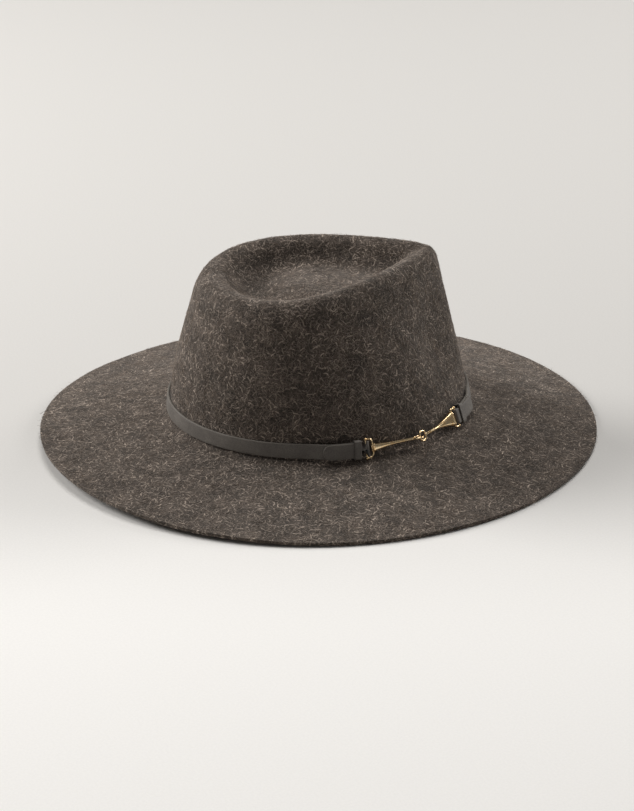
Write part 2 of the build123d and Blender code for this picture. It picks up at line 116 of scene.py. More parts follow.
# Band
STRAP_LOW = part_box("band_strap")[0]
STRAP_WIDTH = 9.5
STRAP_THICKNESS = 1.4
STRAP_GAP = 0.3
STRAP_Z = STRAP_LOW.z / MM
STRAP_MID_Z = STRAP_Z + STRAP_WIDTH / 2
STRAP_LIFT = 2.2
LIFT_FULL = 60.0
LIFT_END = 76.0
TONGUE_TIP = 64.8
TONGUE_CORNER = 4.2
TONGUE_LAYER_GAP = 0.04
STRAP_EDGE_ROUND = 0.42
PIN_TO_FOLD = 0.05
KEEPER_ARC = 43.7
KEEPER_WIDTH = 4.5
KEEPER_WALL = 0.8
KEEPER_GAP = 0.3
FOLD_TAIL = 3.4

# Bit
BIT_ANGLE = math.radians(-71.6)
BIT_PIN_ARC = 38.0
PIN_RADIUS = 0.5
PIN_STAND_OFF = STRAP_GAP + STRAP_LIFT + STRAP_THICKNESS
EYE_STAND_OFF = 5.5
EYE_RADIUS = 3.1
EYE_WIRE = 0.65
EYE_SLACK = 1.0
ARM_RADIUS = 0.6
ARM_GAP = 0.7
ARM_HEIGHT = STRAP_WIDTH / 2 + ARM_GAP + ARM_RADIUS
KNOB_RADIUS = 0.95
SHAFT_RADIUS = 1.0
MOUTH = 4.3
HOOK_BACK = 4.6
HOOK_BEND = 2.8
HOOK_START = (0.0, 0.7)
KNOB_STEP = 0.05
LIP_LENGTH = 1.1
HORN_HALF_DEPTH = 2.3
MOUTH_HALVES = {-1: 2.7, 1: 4.7}
FLARE_RUNS = {-1: 15.0, 1: 17.5}
FLARE_CURVE = 1.25

# Camera's aim above the floor, and its shift aside and down
CAMERA_AIM = 19.633
CAMERA_LEFT = 1.577
CAMERA_DOWN = 4.008
FLOOR_GAP = 0.4

# Inside
SWEAT_LOW, SWEAT_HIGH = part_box("sweatband")
SWEAT_Z = SWEAT_LOW.z / MM
SWEAT_HEIGHT = (SWEAT_HIGH.z - SWEAT_LOW.z) / MM
SWEAT_THICKNESS = 1.1
SWEAT_GAP = 0.45
SWEAT_OUT = -FELT * 1.04 - SWEAT_GAP
SWEAT_IN = SWEAT_OUT - SWEAT_THICKNESS
TRIM_GAP = 0.1
TRIM_OUT = SWEAT_IN - TRIM_GAP
TAPE_WIDTH = 13.0
TAPE_THICKNESS = 0.5
TAPE_MARGIN = 1.5
TAB_ANGLE = math.radians(158.0)
TAB_WIDTH = 20.0
TAB_HEIGHT = 9.0
TAB_THICKNESS = 0.3
BOW_UP = 7.0
BOW_LENGTH = 15.0
BOW_HEIGHT = 6.0


# ---------------------------------------------------------------- shape of the hat, in millimetres


def points(x, y, z):
    return np.stack(np.broadcast_arrays(x, y, z), -1).astype(float)


def unit(vectors):
    return vectors / np.linalg.norm(vectors, axis=-1, keepdims=True)


def turn_from_front(t):
    return np.abs((np.degrees(t) + 180) % 360 - 180)


def mix(start, end, share):
    return start + (end - start) * share


def frontness(t):
    return (1 + np.cos(t)) / 2


def drawn(t):
    narrow = np.abs(np.sin(t / 2)) ** RIDGE_TAPER
    return np.sin(t) * (narrow + (1 - narrow) * RIDGE_TIP)


WIDEST = drawn(np.linspace(0, math.pi, 91)).max()


def teardrop(t):
    """Half-width share of the ridge: an oval drawn to a rounded tip at the front."""
    return drawn(t) / WIDEST


def ridge_height(t):
    rise = RIDGE_HEIGHT_FRONT - RIDGE_HEIGHT_BACK
    return RIDGE_HEIGHT_BACK + rise * frontness(t) + RIDGE_HEIGHT_SIDE * np.sin(t) ** 2


def brim_row(t, share):
    """The brim's top: share 0 at the crown's foot, 1 at the brim's edge."""
    past = np.maximum(0, turn_from_front(t) - BRIM_RISE_START) / (180 - BRIM_RISE_START)
    rise = BRIM_BACK_RISE * np.sin(past * math.pi / 2) ** 2 * share**2
    length = FOOT_HALF_LENGTH + (BRIM_HALF_LENGTH - FOOT_HALF_LENGTH) * share
    width = FOOT_HALF_WIDTH + (BRIM_HALF_WIDTH - FOOT_HALF_WIDTH) * share
    return points(width * np.sin(t), -length * np.cos(t), FOOT_Z - BRIM_DROP * share**BRIM_BOW + rise)


def rim_row(t, angle):
    """The rounded rim: angle 0 on the ridge, SHOULDER_ANGLE where the wall takes over."""
    ends = RIM_ROUND_BACK + (RIM_ROUND_FRONT - RIM_ROUND_BACK) * frontness(t)
    reach = ends - ((RIM_ROUND_BACK + RIM_ROUND_FRONT) / 2 - RIM_ROUND_SIDE) * np.sin(t) ** 2
    out = reach * math.sin(math.radians(angle))
    drop = RIM_STEEPNESS * reach * (1 - math.cos(math.radians(angle)))
    y = (RIDGE_BACK - RIDGE_FRONT) / 2 - (RIDGE_BACK + RIDGE_FRONT) / 2 * np.cos(t) - out * np.cos(t)
    x = RIDGE_HALF_WIDTH * teardrop(t) + out * np.sin(t)
    return points(x, y, FOOT_Z + ridge_height(t) - drop)


def wall_row(t, share):
    """The crown's outer wall: share 0 at its foot, 1 at the shoulder."""
    share = np.maximum(share, 0.0)
    top = rim_row(t, SHOULDER_ANGLE)
    x = FOOT_HALF_WIDTH * np.sin(t) * (1 - share) + top[..., 0] * share
    y = -FOOT_HALF_LENGTH * np.cos(t) * (1 - share) + top[..., 1] * share
    near = (turn_from_front(t) - DENT_ANGLE) / DENT_SPREAD
    dent = DENT_DEPTH * np.sin(math.pi * share) ** 1.6 * (0.5 + 0.85 * share) * 2.718 ** (-near * near)
    bulge = WALL_BULGE * np.sin(math.pi * share**0.8) * (1 - 0.3 * frontness(t))
    push = bulge - dent
    z = FOOT_Z * (1 - share) + top[..., 2] * share
    return points(x + push * np.sin(t), y - push * np.cos(t), z)


def fillet_row(t, share):
    base = wall_row(t, 0.0)
    out = FOOT_FILLET * share
    return points(base[:, 0] + out * np.sin(t), base[:, 1] - out * np.cos(t), FOOT_Z + out * 0.78)


def crease_row(t, scale, drop, level_share=0.0):
    """The teardrop crease inside the ridge, drop below it, easing to a level floor."""
    middle = (RIDGE_BACK - RIDGE_FRONT) / 2
    half = (RIDGE_BACK + RIDGE_FRONT) / 2
    centre = middle + CREASE_CENTRE
    x = RIDGE_HALF_WIDTH * teardrop(t) * scale
    y = centre + (middle - half * np.cos(t) - centre) * scale
    side = ridge_height(np.array(math.pi / 2)) - RIDGE_HEIGHT_SIDE / 2
    level = FOOT_Z + side - CREASE_DEPTH + CREASE_DOME
    z = (FOOT_Z + ridge_height(t) - drop) * (1 - level_share) + level * level_share
    return points(x, y, z)


def wall_at(t, z, out=0.0):
    """The crown wall's outer skin at height z, moved out square to it. t and z may be arrays."""
    t, z = np.broadcast_arrays(np.asarray(t, float), np.asarray(z, float))

    def on_wall(angle):
        return wall_row(angle, (z - FOOT_Z) / (rim_row(angle, SHOULDER_ANGLE)[..., 2] - FOOT_Z))

    here = on_wall(t)
    along = unit((on_wall(t + 0.002) - on_wall(t - 0.002))[..., :2])
    return points(here[..., 0] + out * along[..., 1], here[..., 1] - out * along[..., 0], z)


def strap_table():
    """Distances along the strap from the middle link, plus towards the front, and their angles t."""
    t = BIT_ANGLE + np.linspace(-1.2, 1.2, 4801)
    line = wall_at(t, STRAP_MID_Z, STRAP_GAP)
    run = np.concatenate([[0], np.cumsum(np.linalg.norm(np.diff(line, axis=0), axis=1))])
    return run - np.interp(BIT_ANGLE, t, run), t


STRAP_RUN, STRAP_TURNS = strap_table()


def strap_turn(arcs):
    """The angle t at each distance along the strap from the middle link."""
    return np.interp(arcs, STRAP_RUN, STRAP_TURNS)


LIFT_TURNS = {side: strap_turn([side * LIFT_FULL, side * LIFT_END]) for side in (-1, 1)}


def strap_lift(t):
    """How far the strap stands off the felt round the bit, easing to nothing."""
    away = (np.asarray(t, float) - BIT_ANGLE + math.pi) % TAU - math.pi
    lift = np.zeros_like(away)
    for side in (-1, 1):
        full, end = np.abs(LIFT_TURNS[side] - BIT_ANGLE)
        share = np.clip((np.abs(away) - full) / (end - full), 0, 1)
        lift = np.where(away * side >= 0, STRAP_LIFT * (1 + np.cos(math.pi * share)) / 2, lift)
    return lift


def sweat_at(t, z, out):
    """The sweatband's line at height z: straight between its two edges on the crown's wall."""
    low = wall_at(t, SWEAT_Z, out)
    high = wall_at(t, SWEAT_Z + SWEAT_HEIGHT, out)
    return low + (high - low) * ((np.asarray(z, float) - SWEAT_Z) / SWEAT_HEIGHT)[..., None]


def axes_on(at, t, z, out):
    """A frame on a wall-like surface: its origin, and unit vectors along t, up and outwards."""
    here = at(t, z, out)
    up = unit(at(t, z + 2, out) - at(t, z - 2, out))
    along = at(t + 0.01, z, out) - at(t - 0.01, z, out)
    outward = unit(np.cross(along, up))
    return here, unit(np.cross(up, outward)), up, outward


def bit_frame(side):
    """A cross pin's frame: origin, x towards the middle link, y out from the felt, z along the pin."""
    link = axes_on(wall_at, BIT_ANGLE, STRAP_MID_Z, EYE_STAND_OFF)[0]
    turn = float(strap_turn(side * BIT_PIN_ARC))
    origin, _, _, outward = axes_on(wall_at, turn, STRAP_MID_Z, PIN_STAND_OFF)
    towards = unit(link - origin)
    pin = unit(np.cross(towards, outward))
    return origin, towards, np.cross(pin, towards), pin, float(np.linalg.norm(link - origin))


# ---------------------------------------------------------------- making meshes


def select_nothing():
    if bpy.context.object and bpy.context.object.mode != "OBJECT":
        bpy.ops.object.mode_set(mode="OBJECT")
    for thing in bpy.context.view_layer.objects.selected[:]:
        thing.select_set(False)


def select_only(*pieces):
    select_nothing()
    for piece in pieces:
        piece.select_set(True)
    bpy.context.view_layer.objects.active = pieces[0]


def set_ring(piece, before, ring):
    """Puts the selected face's corners on a ring of points, in the order of the ring before."""
    shape = bmesh.from_edit_mesh(piece.data)
    face = next(f for f in shape.faces if f.select)
    loop = [corner.vert for corner in face.loops]
    if before is not None:
        start = min(range(len(loop)), key=lambda i: (loop[i].co - Vector(before[0])).length_squared)
        loop = loop[start:] + loop[:start]
        ahead = (loop[1].co - Vector(before[1])).length_squared
        behind = (loop[-1].co - Vector(before[1])).length_squared
        if ahead > behind:
            loop = [loop[0]] + loop[:0:-1]
    for vert, point in zip(loop, ring):
        vert.co = point
    bmesh.update_edit_mesh(piece.data)


def in_order(piece):
    """Sorts the faces by their corners, each from its lowest: edit operators leave them in any order."""
    mesh = piece.data
    places = [tuple(vert.co) for vert in mesh.vertices]
    faces = []
    for polygon in mesh.polygons:
        corners = tuple(polygon.vertices)
        start = corners.index(min(corners))
        faces.append(corners[start:] + corners[:start])
    mesh.clear_geometry()
    mesh.from_pydata(places, [], sorted(faces))


def face_outwards(piece):
    select_only(piece)
    bpy.ops.object.mode_set(mode="EDIT")
    bpy.ops.mesh.select_all(action="SELECT")
    bpy.ops.mesh.normals_make_consistent(inside=False)
    bpy.ops.object.mode_set(mode="OBJECT")


def lofted(name, rings):
    """A closed solid: a circle with a face, extruded once for each ring and set on its points."""
    rings = [np.asarray(ring) * MM for ring in rings]
    select_nothing()
    bpy.ops.mesh.primitive_circle_add(vertices=len(rings[0]), radius=MM, fill_type="NGON")
    piece = bpy.context.object
    piece.name = piece.data.name = name
    bpy.ops.object.mode_set(mode="EDIT")
    bpy.ops.mesh.select_mode(type="FACE")
    bpy.ops.mesh.select_all(action="SELECT")
    set_ring(piece, None, rings[0])
    for before, ring in zip(rings, rings[1:]):
        bpy.ops.mesh.extrude_region_move()
        set_ring(piece, before, ring)
    bpy.ops.mesh.select_all(action="SELECT")
    bpy.ops.mesh.normals_make_consistent(inside=False)
    bpy.ops.object.mode_set(mode="OBJECT")
    in_order(piece)
    return piece


def swept(name, rings, closed):
    """Rings of the same count joined by quads, end to end if closed, with flat ends if not."""
    rings = np.asarray(rings) * MM
    turns, count = rings.shape[:2]
    last = turns if closed else turns - 1
    faces = []
    for i in range(last):
        a, b = i * count, (i + 1) % turns * count
        faces += [(a + j, a + (j + 1) % count, b + (j + 1) % count, b + j) for j in range(count)]
    if not closed:
        faces += [tuple(range(count))[::-1], tuple(range((turns - 1) * count, turns * count))]
    mesh = bpy.data.meshes.new(name)
    mesh.from_pydata(rings.reshape(-1, 3).tolist(), [], faces)
    piece = bpy.data.objects.new(name, mesh)
    bpy.context.scene.collection.objects.link(piece)
    face_outwards(piece)
    return piece


def apply_modifier(piece, kind, **settings):
    made = piece.modifiers.new(kind.title(), kind)
    for key, value in settings.items():
        setattr(made, key, value)
    select_only(piece)
    bpy.ops.object.modifier_apply(modifier=made.name)


def smooth(piece, degrees=40.0):
    select_only(piece)
    bpy.ops.object.shade_smooth_by_angle(angle=math.radians(degrees))


def joined(name, *pieces):
    select_only(*pieces)
    bpy.ops.object.join()
    piece = bpy.context.view_layer.objects.active
    piece.name = piece.data.name = name
    return piece


def round_section(half_width, half_thickness, corner, steps=4):
    """A rounded rectangle as (across, out) pairs, with extra points along its two wide sides."""
    pairs = []
    for middle_turn, x, y in ((45, 1, 1), (135, -1, 1), (225, -1, -1), (315, 1, -1)):
        for i in range(steps + 1):
            turn = math.radians(middle_turn - 45 + 90 * i / steps)
            pairs.append(
                (
                    x * (half_width - corner) + corner * math.cos(turn),
                    y * (half_thickness - corner) + corner * math.sin(turn),
                )
            )
        if middle_turn in (45, 225):
            side = 1 if middle_turn == 45 else -1
            for share in (0.72, 0.4, 0.0, -0.4, -0.72):
                pairs.append((side * share * (half_width - corner), side * half_thickness))
    return np.array(pairs)


def finished(piece, body, materials, stands_for=()):
    """Materials, the body it rides on and the CAD nodes that it stands for."""
    piece.data.materials.clear()
    for material in materials:
        piece.data.materials.append(material)
    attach(piece, body)
    if stands_for:
        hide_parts(*stands_for)
    return piece


# ---------------------------------------------------------------- materials


def add_node(tree, kind, inputs=None, **settings):
    made = tree.nodes.new(kind)
    for key, value in settings.items():
        setattr(made, key, value)
    for key, value in (inputs or {}).items():
        if isinstance(value, bpy.types.NodeSocket):
            tree.links.new(value, made.inputs[key])
        else:
            made.inputs[key].default_value = value
    return made


def arithmetic(tree, operation, first, second=0.0, clamp=False):
    inputs = {0: first, 1: second}
    return add_node(tree, "ShaderNodeMath", inputs, operation=operation, use_clamp=clamp).outputs[0]


def vector_maths(tree, operation, first, second=(0.0, 0.0, 0.0)):
    made = add_node(tree, "ShaderNodeVectorMath", {0: first, 1: second}, operation=operation)
    return made.outputs["Value"] if operation in ("DOT_PRODUCT", "LENGTH") else made.outputs["Vector"]


def between(tree, value, low, high, to_low=0.0, to_high=1.0):
    """value, from low to high, eased to to_low and to_high."""
    inputs = {"Value": value, "From Min": low, "From Max": high, "To Min": to_low, "To Max": to_high}
    return add_node(tree, "ShaderNodeMapRange", inputs, interpolation_type="SMOOTHSTEP").outputs[0]


def mixed(tree, share, low, high, blend="MIX"):
    inputs = {0: share, 6: low, 7: high}
    return add_node(tree, "ShaderNodeMix", inputs, data_type="RGBA", blend_type=blend).outputs[2]


def noise_of(tree, place, scale, detail=2.0, roughness=0.5):
    inputs = {"Vector": place, "Scale": scale, "Detail": detail, "Roughness": roughness}
    return add_node(tree, "ShaderNodeTexNoise", inputs).outputs[0]


def new_material(name, **shader_inputs):
    """An empty node material with its Principled shader: (material, tree, shader)."""
    material = bpy.data.materials.new(name)
    material.use_nodes = True
    tree = material.node_tree
    tree.nodes.clear()
    shader = add_node(tree, "ShaderNodeBsdfPrincipled", shader_inputs)
    add_node(tree, "ShaderNodeOutputMaterial", {"Surface": shader.outputs[0]})
    return material, tree, shader


def bumped(tree, shader, height, strength, distance):
    inputs = {"Height": height, "Strength": strength, "Distance": distance}
    tree.links.new(add_node(tree, "ShaderNodeBump", inputs).outputs[0], shader.inputs["Normal"])


def rgba(colour):
    return (*colour, 1.0)


def object_place(tree):
    return tree.nodes.new("ShaderNodeTexCoord").outputs["Object"]


def shaded(tree, colour, grey):
    """colour times a grey value."""
    shade = add_node(tree, "ShaderNodeCombineXYZ", {0: grey, 1: grey, 2: grey}).outputs[0]
    return mixed(tree, 1.0, colour, shade, "MULTIPLY")


def fibre_strokes():
    """A node group: short curved strokes that lie in the surface, one in each cell of a 3-D pattern."""
    group = bpy.data.node_groups.new("fibre_strokes", "ShaderNodeTree")
    for name, kind in (("Place", "Vector"), ("Normal", "Vector"), ("Scale", "Float"), ("Width", "Float")):
        group.interface.new_socket(name, in_out="INPUT", socket_type=f"NodeSocket{kind}")
    group.interface.new_socket("Stroke", in_out="OUTPUT", socket_type="NodeSocketFloat")
    group.interface.new_socket("Tone", in_out="OUTPUT", socket_type="NodeSocketFloat")
    given = group.nodes.new("NodeGroupInput")
    place, normal, scale, width = (given.outputs[i] for i in range(4))
    cells = add_node(group, "ShaderNodeTexVoronoi", {"Vector": place, "Scale": scale})
    away = vector_maths(group, "SUBTRACT", place, cells.outputs["Position"])
    away = add_node(group, "ShaderNodeVectorMath", {0: away, "Scale": scale}, operation="SCALE").outputs[0]
    off = vector_maths(group, "DOT_PRODUCT", away, normal)
    lifted = add_node(group, "ShaderNodeVectorMath", {0: normal, "Scale": off}, operation="SCALE").outputs[0]
    flat = vector_maths(group, "SUBTRACT", away, lifted)
    chance = vector_maths(group, "SUBTRACT", cells.outputs["Color"], (0.5, 0.5, 0.5))
    along = vector_maths(group, "NORMALIZE", vector_maths(group, "CROSS_PRODUCT", normal, chance))
    aside = vector_maths(group, "CROSS_PRODUCT", normal, along)
    run = vector_maths(group, "DOT_PRODUCT", flat, along)
    step = vector_maths(group, "DOT_PRODUCT", flat, aside)
    tone = add_node(group, "ShaderNodeSeparateXYZ", {0: cells.outputs["Color"]}).outputs[2]
    curl = arithmetic(group, "MULTIPLY", arithmetic(group, "SUBTRACT", tone, 0.5), 1.3)
    bend = arithmetic(group, "MULTIPLY", arithmetic(group, "MULTIPLY", run, run), curl)
    miss = arithmetic(group, "ABSOLUTE", arithmetic(group, "SUBTRACT", step, bend))
    thin = arithmetic(group, "DIVIDE", miss, width)
    body = between(group, thin, 1.0, 0.15)
    ends = between(group, arithmetic(group, "ABSOLUTE", run), 0.62, 0.4)
    stroke = arithmetic(group, "MULTIPLY", body, ends)
    put = group.nodes.new("NodeGroupOutput")
    group.links.new(stroke, put.inputs[0])
    group.links.new(tone, put.inputs[1])
    return group


def wool_felt_material(settings):
    """Marled felt: a dark ground, soft patches, and crossing layers of light and dark strokes."""
    material, tree, shader = new_material(
        "wool_felt",
        **{
            "Roughness": 0.95,
            "Specular IOR Level": 0.2,
            "Sheen Weight": 0.22,
            "Sheen Roughness": 0.45,
            "Sheen Tint": (0.86, 0.8, 0.74, 1.0),
        },
    )
    coordinates = tree.nodes.new("ShaderNodeTexCoord")
    place, normal = coordinates.outputs["Object"], coordinates.outputs["Normal"]
    waves = {"Vector": place, "Scale": 420.0, "Detail": 1.0}
    wander = add_node(tree, "ShaderNodeTexNoise", waves).outputs[1]
    wander = vector_maths(tree, "SUBTRACT", wander, (0.5, 0.5, 0.5))
    reach = {0: wander, "Scale": 0.0013}
    wander = add_node(tree, "ShaderNodeVectorMath", reach, operation="SCALE").outputs[0]
    place_curly = vector_maths(tree, "ADD", place, wander)
    patches = noise_of(tree, place, 55.0, 4.0, 0.6)
    grain = noise_of(tree, place, 900.0, 3.0, 0.7)
    ground = mixed(tree, between(tree, patches, 0.3, 0.7), rgba(settings.ground), rgba(settings.ground_warm))
    ground = mixed(tree, between(tree, grain, 0.25, 0.75), ground, rgba(settings.mid_fibre))
    group = fibre_strokes()
    height = grain
    colour = ground
    layers = (
        (250.0, 0.12, (0.0, 0.0, 0.0), settings.light_fibre, 0.75),
        (330.0, 0.13, (0.37, 0.11, 0.23), settings.mid_fibre, 0.9),
        (300.0, 0.15, (0.19, 0.53, 0.41), settings.ground, 0.8),
        (410.0, 0.13, (0.71, 0.29, 0.67), settings.light_fibre, 0.55),
        (520.0, 0.15, (0.13, 0.83, 0.31), settings.mid_fibre, 0.8),
    )
    for scale, width, shift, tint, amount in layers:
        moved = vector_maths(tree, "ADD", place_curly, shift)
        strokes = tree.nodes.new("ShaderNodeGroup")
        strokes.node_tree = group
        tree.links.new(moved, strokes.inputs[0])
        tree.links.new(normal, strokes.inputs[1])
        strokes.inputs[2].default_value = scale
        strokes.inputs[3].default_value = width
        strength = between(tree, strokes.outputs[1], 0.15, 0.85)
        cover = arithmetic(tree, "MULTIPLY", strokes.outputs[0], strength)
        cover = arithmetic(tree, "MULTIPLY", cover, amount * settings.fibre_share)
        colour = mixed(tree, cover, colour, rgba(tint))
        height = arithmetic(tree, "ADD", height, arithmetic(tree, "MULTIPLY", strokes.outputs[0], 0.6))
    mottle = between(tree, noise_of(tree, place, 85.0, 4.0, 0.65), 0.34, 0.66, 0.61, 1.22)
    tree.links.new(shaded(tree, colour, mottle), shader.inputs["Base Color"])
    bumped(tree, shader, height, 0.55, 0.00035)
    return material


def loose_fibre_material(settings):
    """Wool fibres: each has its own tone between dark and light, read from its tint."""
    material, tree, shader = new_material(
        "loose_wool_fibres",
        **{"Roughness": 0.7, "Specular IOR Level": 0.3, "Sheen Weight": 0.15, "Sheen Roughness": 0.4},
    )
    tint = add_node(tree, "ShaderNodeAttribute", attribute_name="tint").outputs["Fac"]
    place = object_place(tree)
    worn = between(tree, noise_of(tree, place, 300.0, 2.0), 0.3, 0.7, 0.72, 1.02)
    colour = mixed(tree, tint, rgba(settings.mid_fibre), rgba(settings.light_fibre))
    tree.links.new(shaded(tree, colour, worn), shader.inputs["Base Color"])
    return material


def leather_material(name, colour, lighter, roughness, grain_scale, bump):
    """Smooth leather: fine pebbles with painted shade in the crevices between them, soft uneven dye and
    slightly worn shine.
    """
    material, tree, shader = new_material(
        name, **{"Specular IOR Level": 0.42, "Sheen Weight": 0.1, "Sheen Roughness": 0.4}
    )
    place = object_place(tree)
    dye = between(tree, noise_of(tree, place, 70.0, 4.0, 0.6), 0.3, 0.72)
    cells = add_node(tree, "ShaderNodeTexVoronoi", {"Vector": place, "Scale": grain_scale})
    pebbles = cells.outputs["Distance"]
    creases = noise_of(tree, place, grain_scale * 0.35, 3.0, 0.65)
    tone = mixed(tree, dye, rgba(colour), rgba(lighter))
    # painted shade: the colour darkens towards the crevices between the pebbles, the low places of the bump
    dark = tuple(part * 0.72 for part in colour)
    tone = mixed(tree, between(tree, pebbles, 0.35, 0.75, 0.0, 0.55), tone, rgba(dark))
    tree.links.new(tone, shader.inputs["Base Color"])
    shine = between(tree, creases, 0.3, 0.7, roughness - 0.06, roughness + 0.1)
    tree.links.new(shine, shader.inputs["Roughness"])
    height = arithmetic(tree, "ADD", arithmetic(tree, "MULTIPLY", pebbles, -0.7), creases)
    bumped(tree, shader, height, bump, 0.0002)
    return material


def gold_material(settings):
    """Polished pale gold with faint hairlines and finger smudges."""
    material, tree, shader = new_material(
        "polished_pale_gold", **{"Metallic": 1.0, "Specular IOR Level": 0.5}
    )
    place = object_place(tree)
    smudge = noise_of(tree, place, 260.0, 3.0, 0.6)
    low, high = settings.roughness, settings.roughness + 0.05
    tree.links.new(between(tree, smudge, 0.35, 0.7, low, high), shader.inputs["Roughness"])
    deep = tuple(part * factor for part, factor in zip(settings.colour, (0.93, 0.8, 0.64)))
    clouds = between(tree, noise_of(tree, place, 420.0, 2.0), 0.35, 0.75)
    tone = mixed(tree, clouds, rgba(settings.colour), rgba(deep))
    tree.links.new(tone, shader.inputs["Base Color"])
    stretched = vector_maths(tree, "MULTIPLY", place, (1.0, 0.2, 1.0))
    bumped(tree, shader, noise_of(tree, stretched, 2600.0, 2.0), 0.02, 0.00003)
    return material


def ribbon_material(name, colour, ribs):
    """Woven tape: fine ribs across it, painted shade in the troughs between the ribs, and a thread-by-thread
    change of tone.
    """
    material, tree, shader = new_material(
        name, **{"Roughness": 0.75, "Specular IOR Level": 0.3, "Sheen Weight": 0.2, "Sheen Roughness": 0.4}
    )
    place = object_place(tree)
    waves = add_node(
        tree,
        "ShaderNodeTexWave",
        {"Vector": place, "Scale": ribs, "Distortion": 0.4, "Detail": 1.0},
        bands_direction="Z",
    ).outputs["Fac"]
    threads = noise_of(tree, place, 1800.0, 2.0)
    light = tuple(min(part * 1.5, 1.0) for part in colour)
    tone = mixed(tree, between(tree, threads, 0.3, 0.7), rgba(colour), rgba(light))
    # painted shade: the colour darkens in the troughs between the ribs, where the bump is low
    dark = tuple(part * 0.55 for part in colour)
    tone = mixed(tree, between(tree, waves, 0.35, 0.0, 0.0, 0.8), tone, rgba(dark))
    tree.links.new(tone, shader.inputs["Base Color"])
    height = arithmetic(tree, "ADD", waves, arithmetic(tree, "MULTIPLY", threads, 0.4))
    bumped(tree, shader, height, 0.5, 0.0002)
    return material


# ---------------------------------------------------------------- settings


class HatFelt(bpy.types.PropertyGroup):
    thickness: bpy.props.FloatProperty(
        name="Thickness", description="Thickness of the felt", default=FELT * MM, unit="LENGTH"
    )
    ground: bpy.props.FloatVectorProperty(
        name="Ground", description="Darkest wool", default=(0.0215, 0.018, 0.0158), subtype="COLOR"
    )
    ground_warm: bpy.props.FloatVectorProperty(
        name="Warm ground", description="Browner patches", default=(0.043, 0.0335, 0.0268), subtype="COLOR"
    )
    mid_fibre: bpy.props.FloatVectorProperty(
        name="Middle fibres", description="Grey-brown wool", default=(0.112, 0.089, 0.073), subtype="COLOR"
    )
    light_fibre: bpy.props.FloatVectorProperty(
        name="Light fibres", description="Beige wool", default=(0.57, 0.47, 0.39), subtype="COLOR"
    )
    fibre_share: bpy.props.FloatProperty(
        name="Fibre share",
        description="How strongly fibres show in the ground",
        default=0.9,
        min=0.0,
        max=1.0,
    )
    fibres: bpy.props.IntProperty(
        name="Loose fibres",
        description="Fibres lying on the felt, for each piece",
        default=7500,
        min=0,
        max=7600,
    )
    fibre_width: bpy.props.FloatProperty(
        name="Fibre width", description="Thickness of a loose fibre", default=0.125 * MM, unit="LENGTH"
    )


class HatBand(bpy.types.PropertyGroup):
    leather: bpy.props.FloatVectorProperty(
        name="Leather", description="Face of the strap", default=(0.12, 0.106, 0.093), subtype="COLOR"
    )
    leather_light: bpy.props.FloatVectorProperty(
        name="Worn leather",
        description="Lighter dye on the strap",
        default=(0.165, 0.147, 0.128),
        subtype="COLOR",
    )
    edge: bpy.props.FloatVectorProperty(
        name="Edge", description="Sealed cut edge", default=(0.13, 0.114, 0.094), subtype="COLOR"
    )


class HatMetal(bpy.types.PropertyGroup):
    colour: bpy.props.FloatVectorProperty(
        name="Gold", description="Colour of the plating", default=(1.0, 0.785, 0.49), subtype="COLOR"
    )
    roughness: bpy.props.FloatProperty(
        name="Roughness",
        description="Polish of the plating",
        default=0.16,
        min=0.02,
        max=0.6,
        subtype="FACTOR",
    )


class HatInside(bpy.types.PropertyGroup):
    sweatband: bpy.props.FloatVectorProperty(
        name="Sweatband",
        description="Leather against the head",
        default=(0.05, 0.041, 0.034),
        subtype="COLOR",
    )
    ribbon: bpy.props.FloatVectorProperty(
        name="Ribbon", description="Tape and bow", default=(0.045, 0.038, 0.033), subtype="COLOR"
    )
    tab: bpy.props.FloatVectorProperty(
        name="Tab", description="Blank size tab", default=(0.6, 0.56, 0.48), subtype="COLOR"
    )
    stitch_length: bpy.props.FloatProperty(
        name="Stitch", description="Length of one stitch", default=2.6 * MM, unit="LENGTH"
    )


class HatStage(bpy.types.PropertyGroup):
    floor: bpy.props.FloatVectorProperty(
        name="Floor", description="Pale paper", default=(0.88, 0.868, 0.848), subtype="COLOR"
    )
    azimuth: bpy.props.FloatProperty(
        name="Azimuth",
        description="Camera's turn round the hat",
        default=math.radians(22.0),
        subtype="ANGLE",
    )
    elevation: bpy.props.FloatProperty(
        name="Elevation",
        description="Camera's angle above the floor",
        default=math.radians(23.7),
        subtype="ANGLE",
    )
    distance: bpy.props.FloatProperty(
        name="Distance", description="Camera to the hat's middle", default=1.7784, unit="LENGTH"
    )
    lens: bpy.props.FloatProperty(
        name="Lens", description="Focal length in millimetres", default=120.2, subtype="DISTANCE_CAMERA"
    )


# ---------------------------------------------------------------- operators


def felt_rows(t):
    """The outer skin from the brim's edge to the middle of the crown."""
    rows = [brim_row(t, share) for share in (1.0, 0.985, 0.95, 0.88, 0.8, 0.71, 0.62, 0.53, 0.44, 0.35)]
    rows += [brim_row(t, share) for share in (0.27, 0.2, 0.14, 0.09, 0.056)]
    rows += [fillet_row(t, 0.62), fillet_row(t, 0.3) + [0, 0, FOOT_FILLET * 0.17]]
    rows += [wall_row(t, share) for share in (0.038, 0.075, 0.13, 0.2, 0.28, 0.36, 0.44, 0.52)]
    rows += [wall_row(t, share) for share in (0.6, 0.68, 0.75, 0.82, 0.88, 0.94, 1.0)]
    rows += [rim_row(t, angle) for angle in (66, 55, 44, 33, 22, 11, 0, -11)]
    rows += [crease_row(t, 0.88, 2.1), crease_row(t, 0.84, 4.2), crease_row(t, 0.79, 7.5)]
    rows += [crease_row(t, 0.745, 10.1), crease_row(t, 0.69, 12.5), crease_row(t, 0.63, 14.1)]
    rows += [crease_row(t, 0.56, 14.9), crease_row(t, 0.48, 15.0, 0.1), crease_row(t, 0.4, 15.0, 0.38)]
    rows += [crease_row(t, 0.31, 15.0, 0.7), crease_row(t, 0.22, 15.0, 0.94), crease_row(t, 0.13, 15.0, 1.0)]
    rows += [crease_row(t, 0.05, 15.0, 1.0)]
    return rows


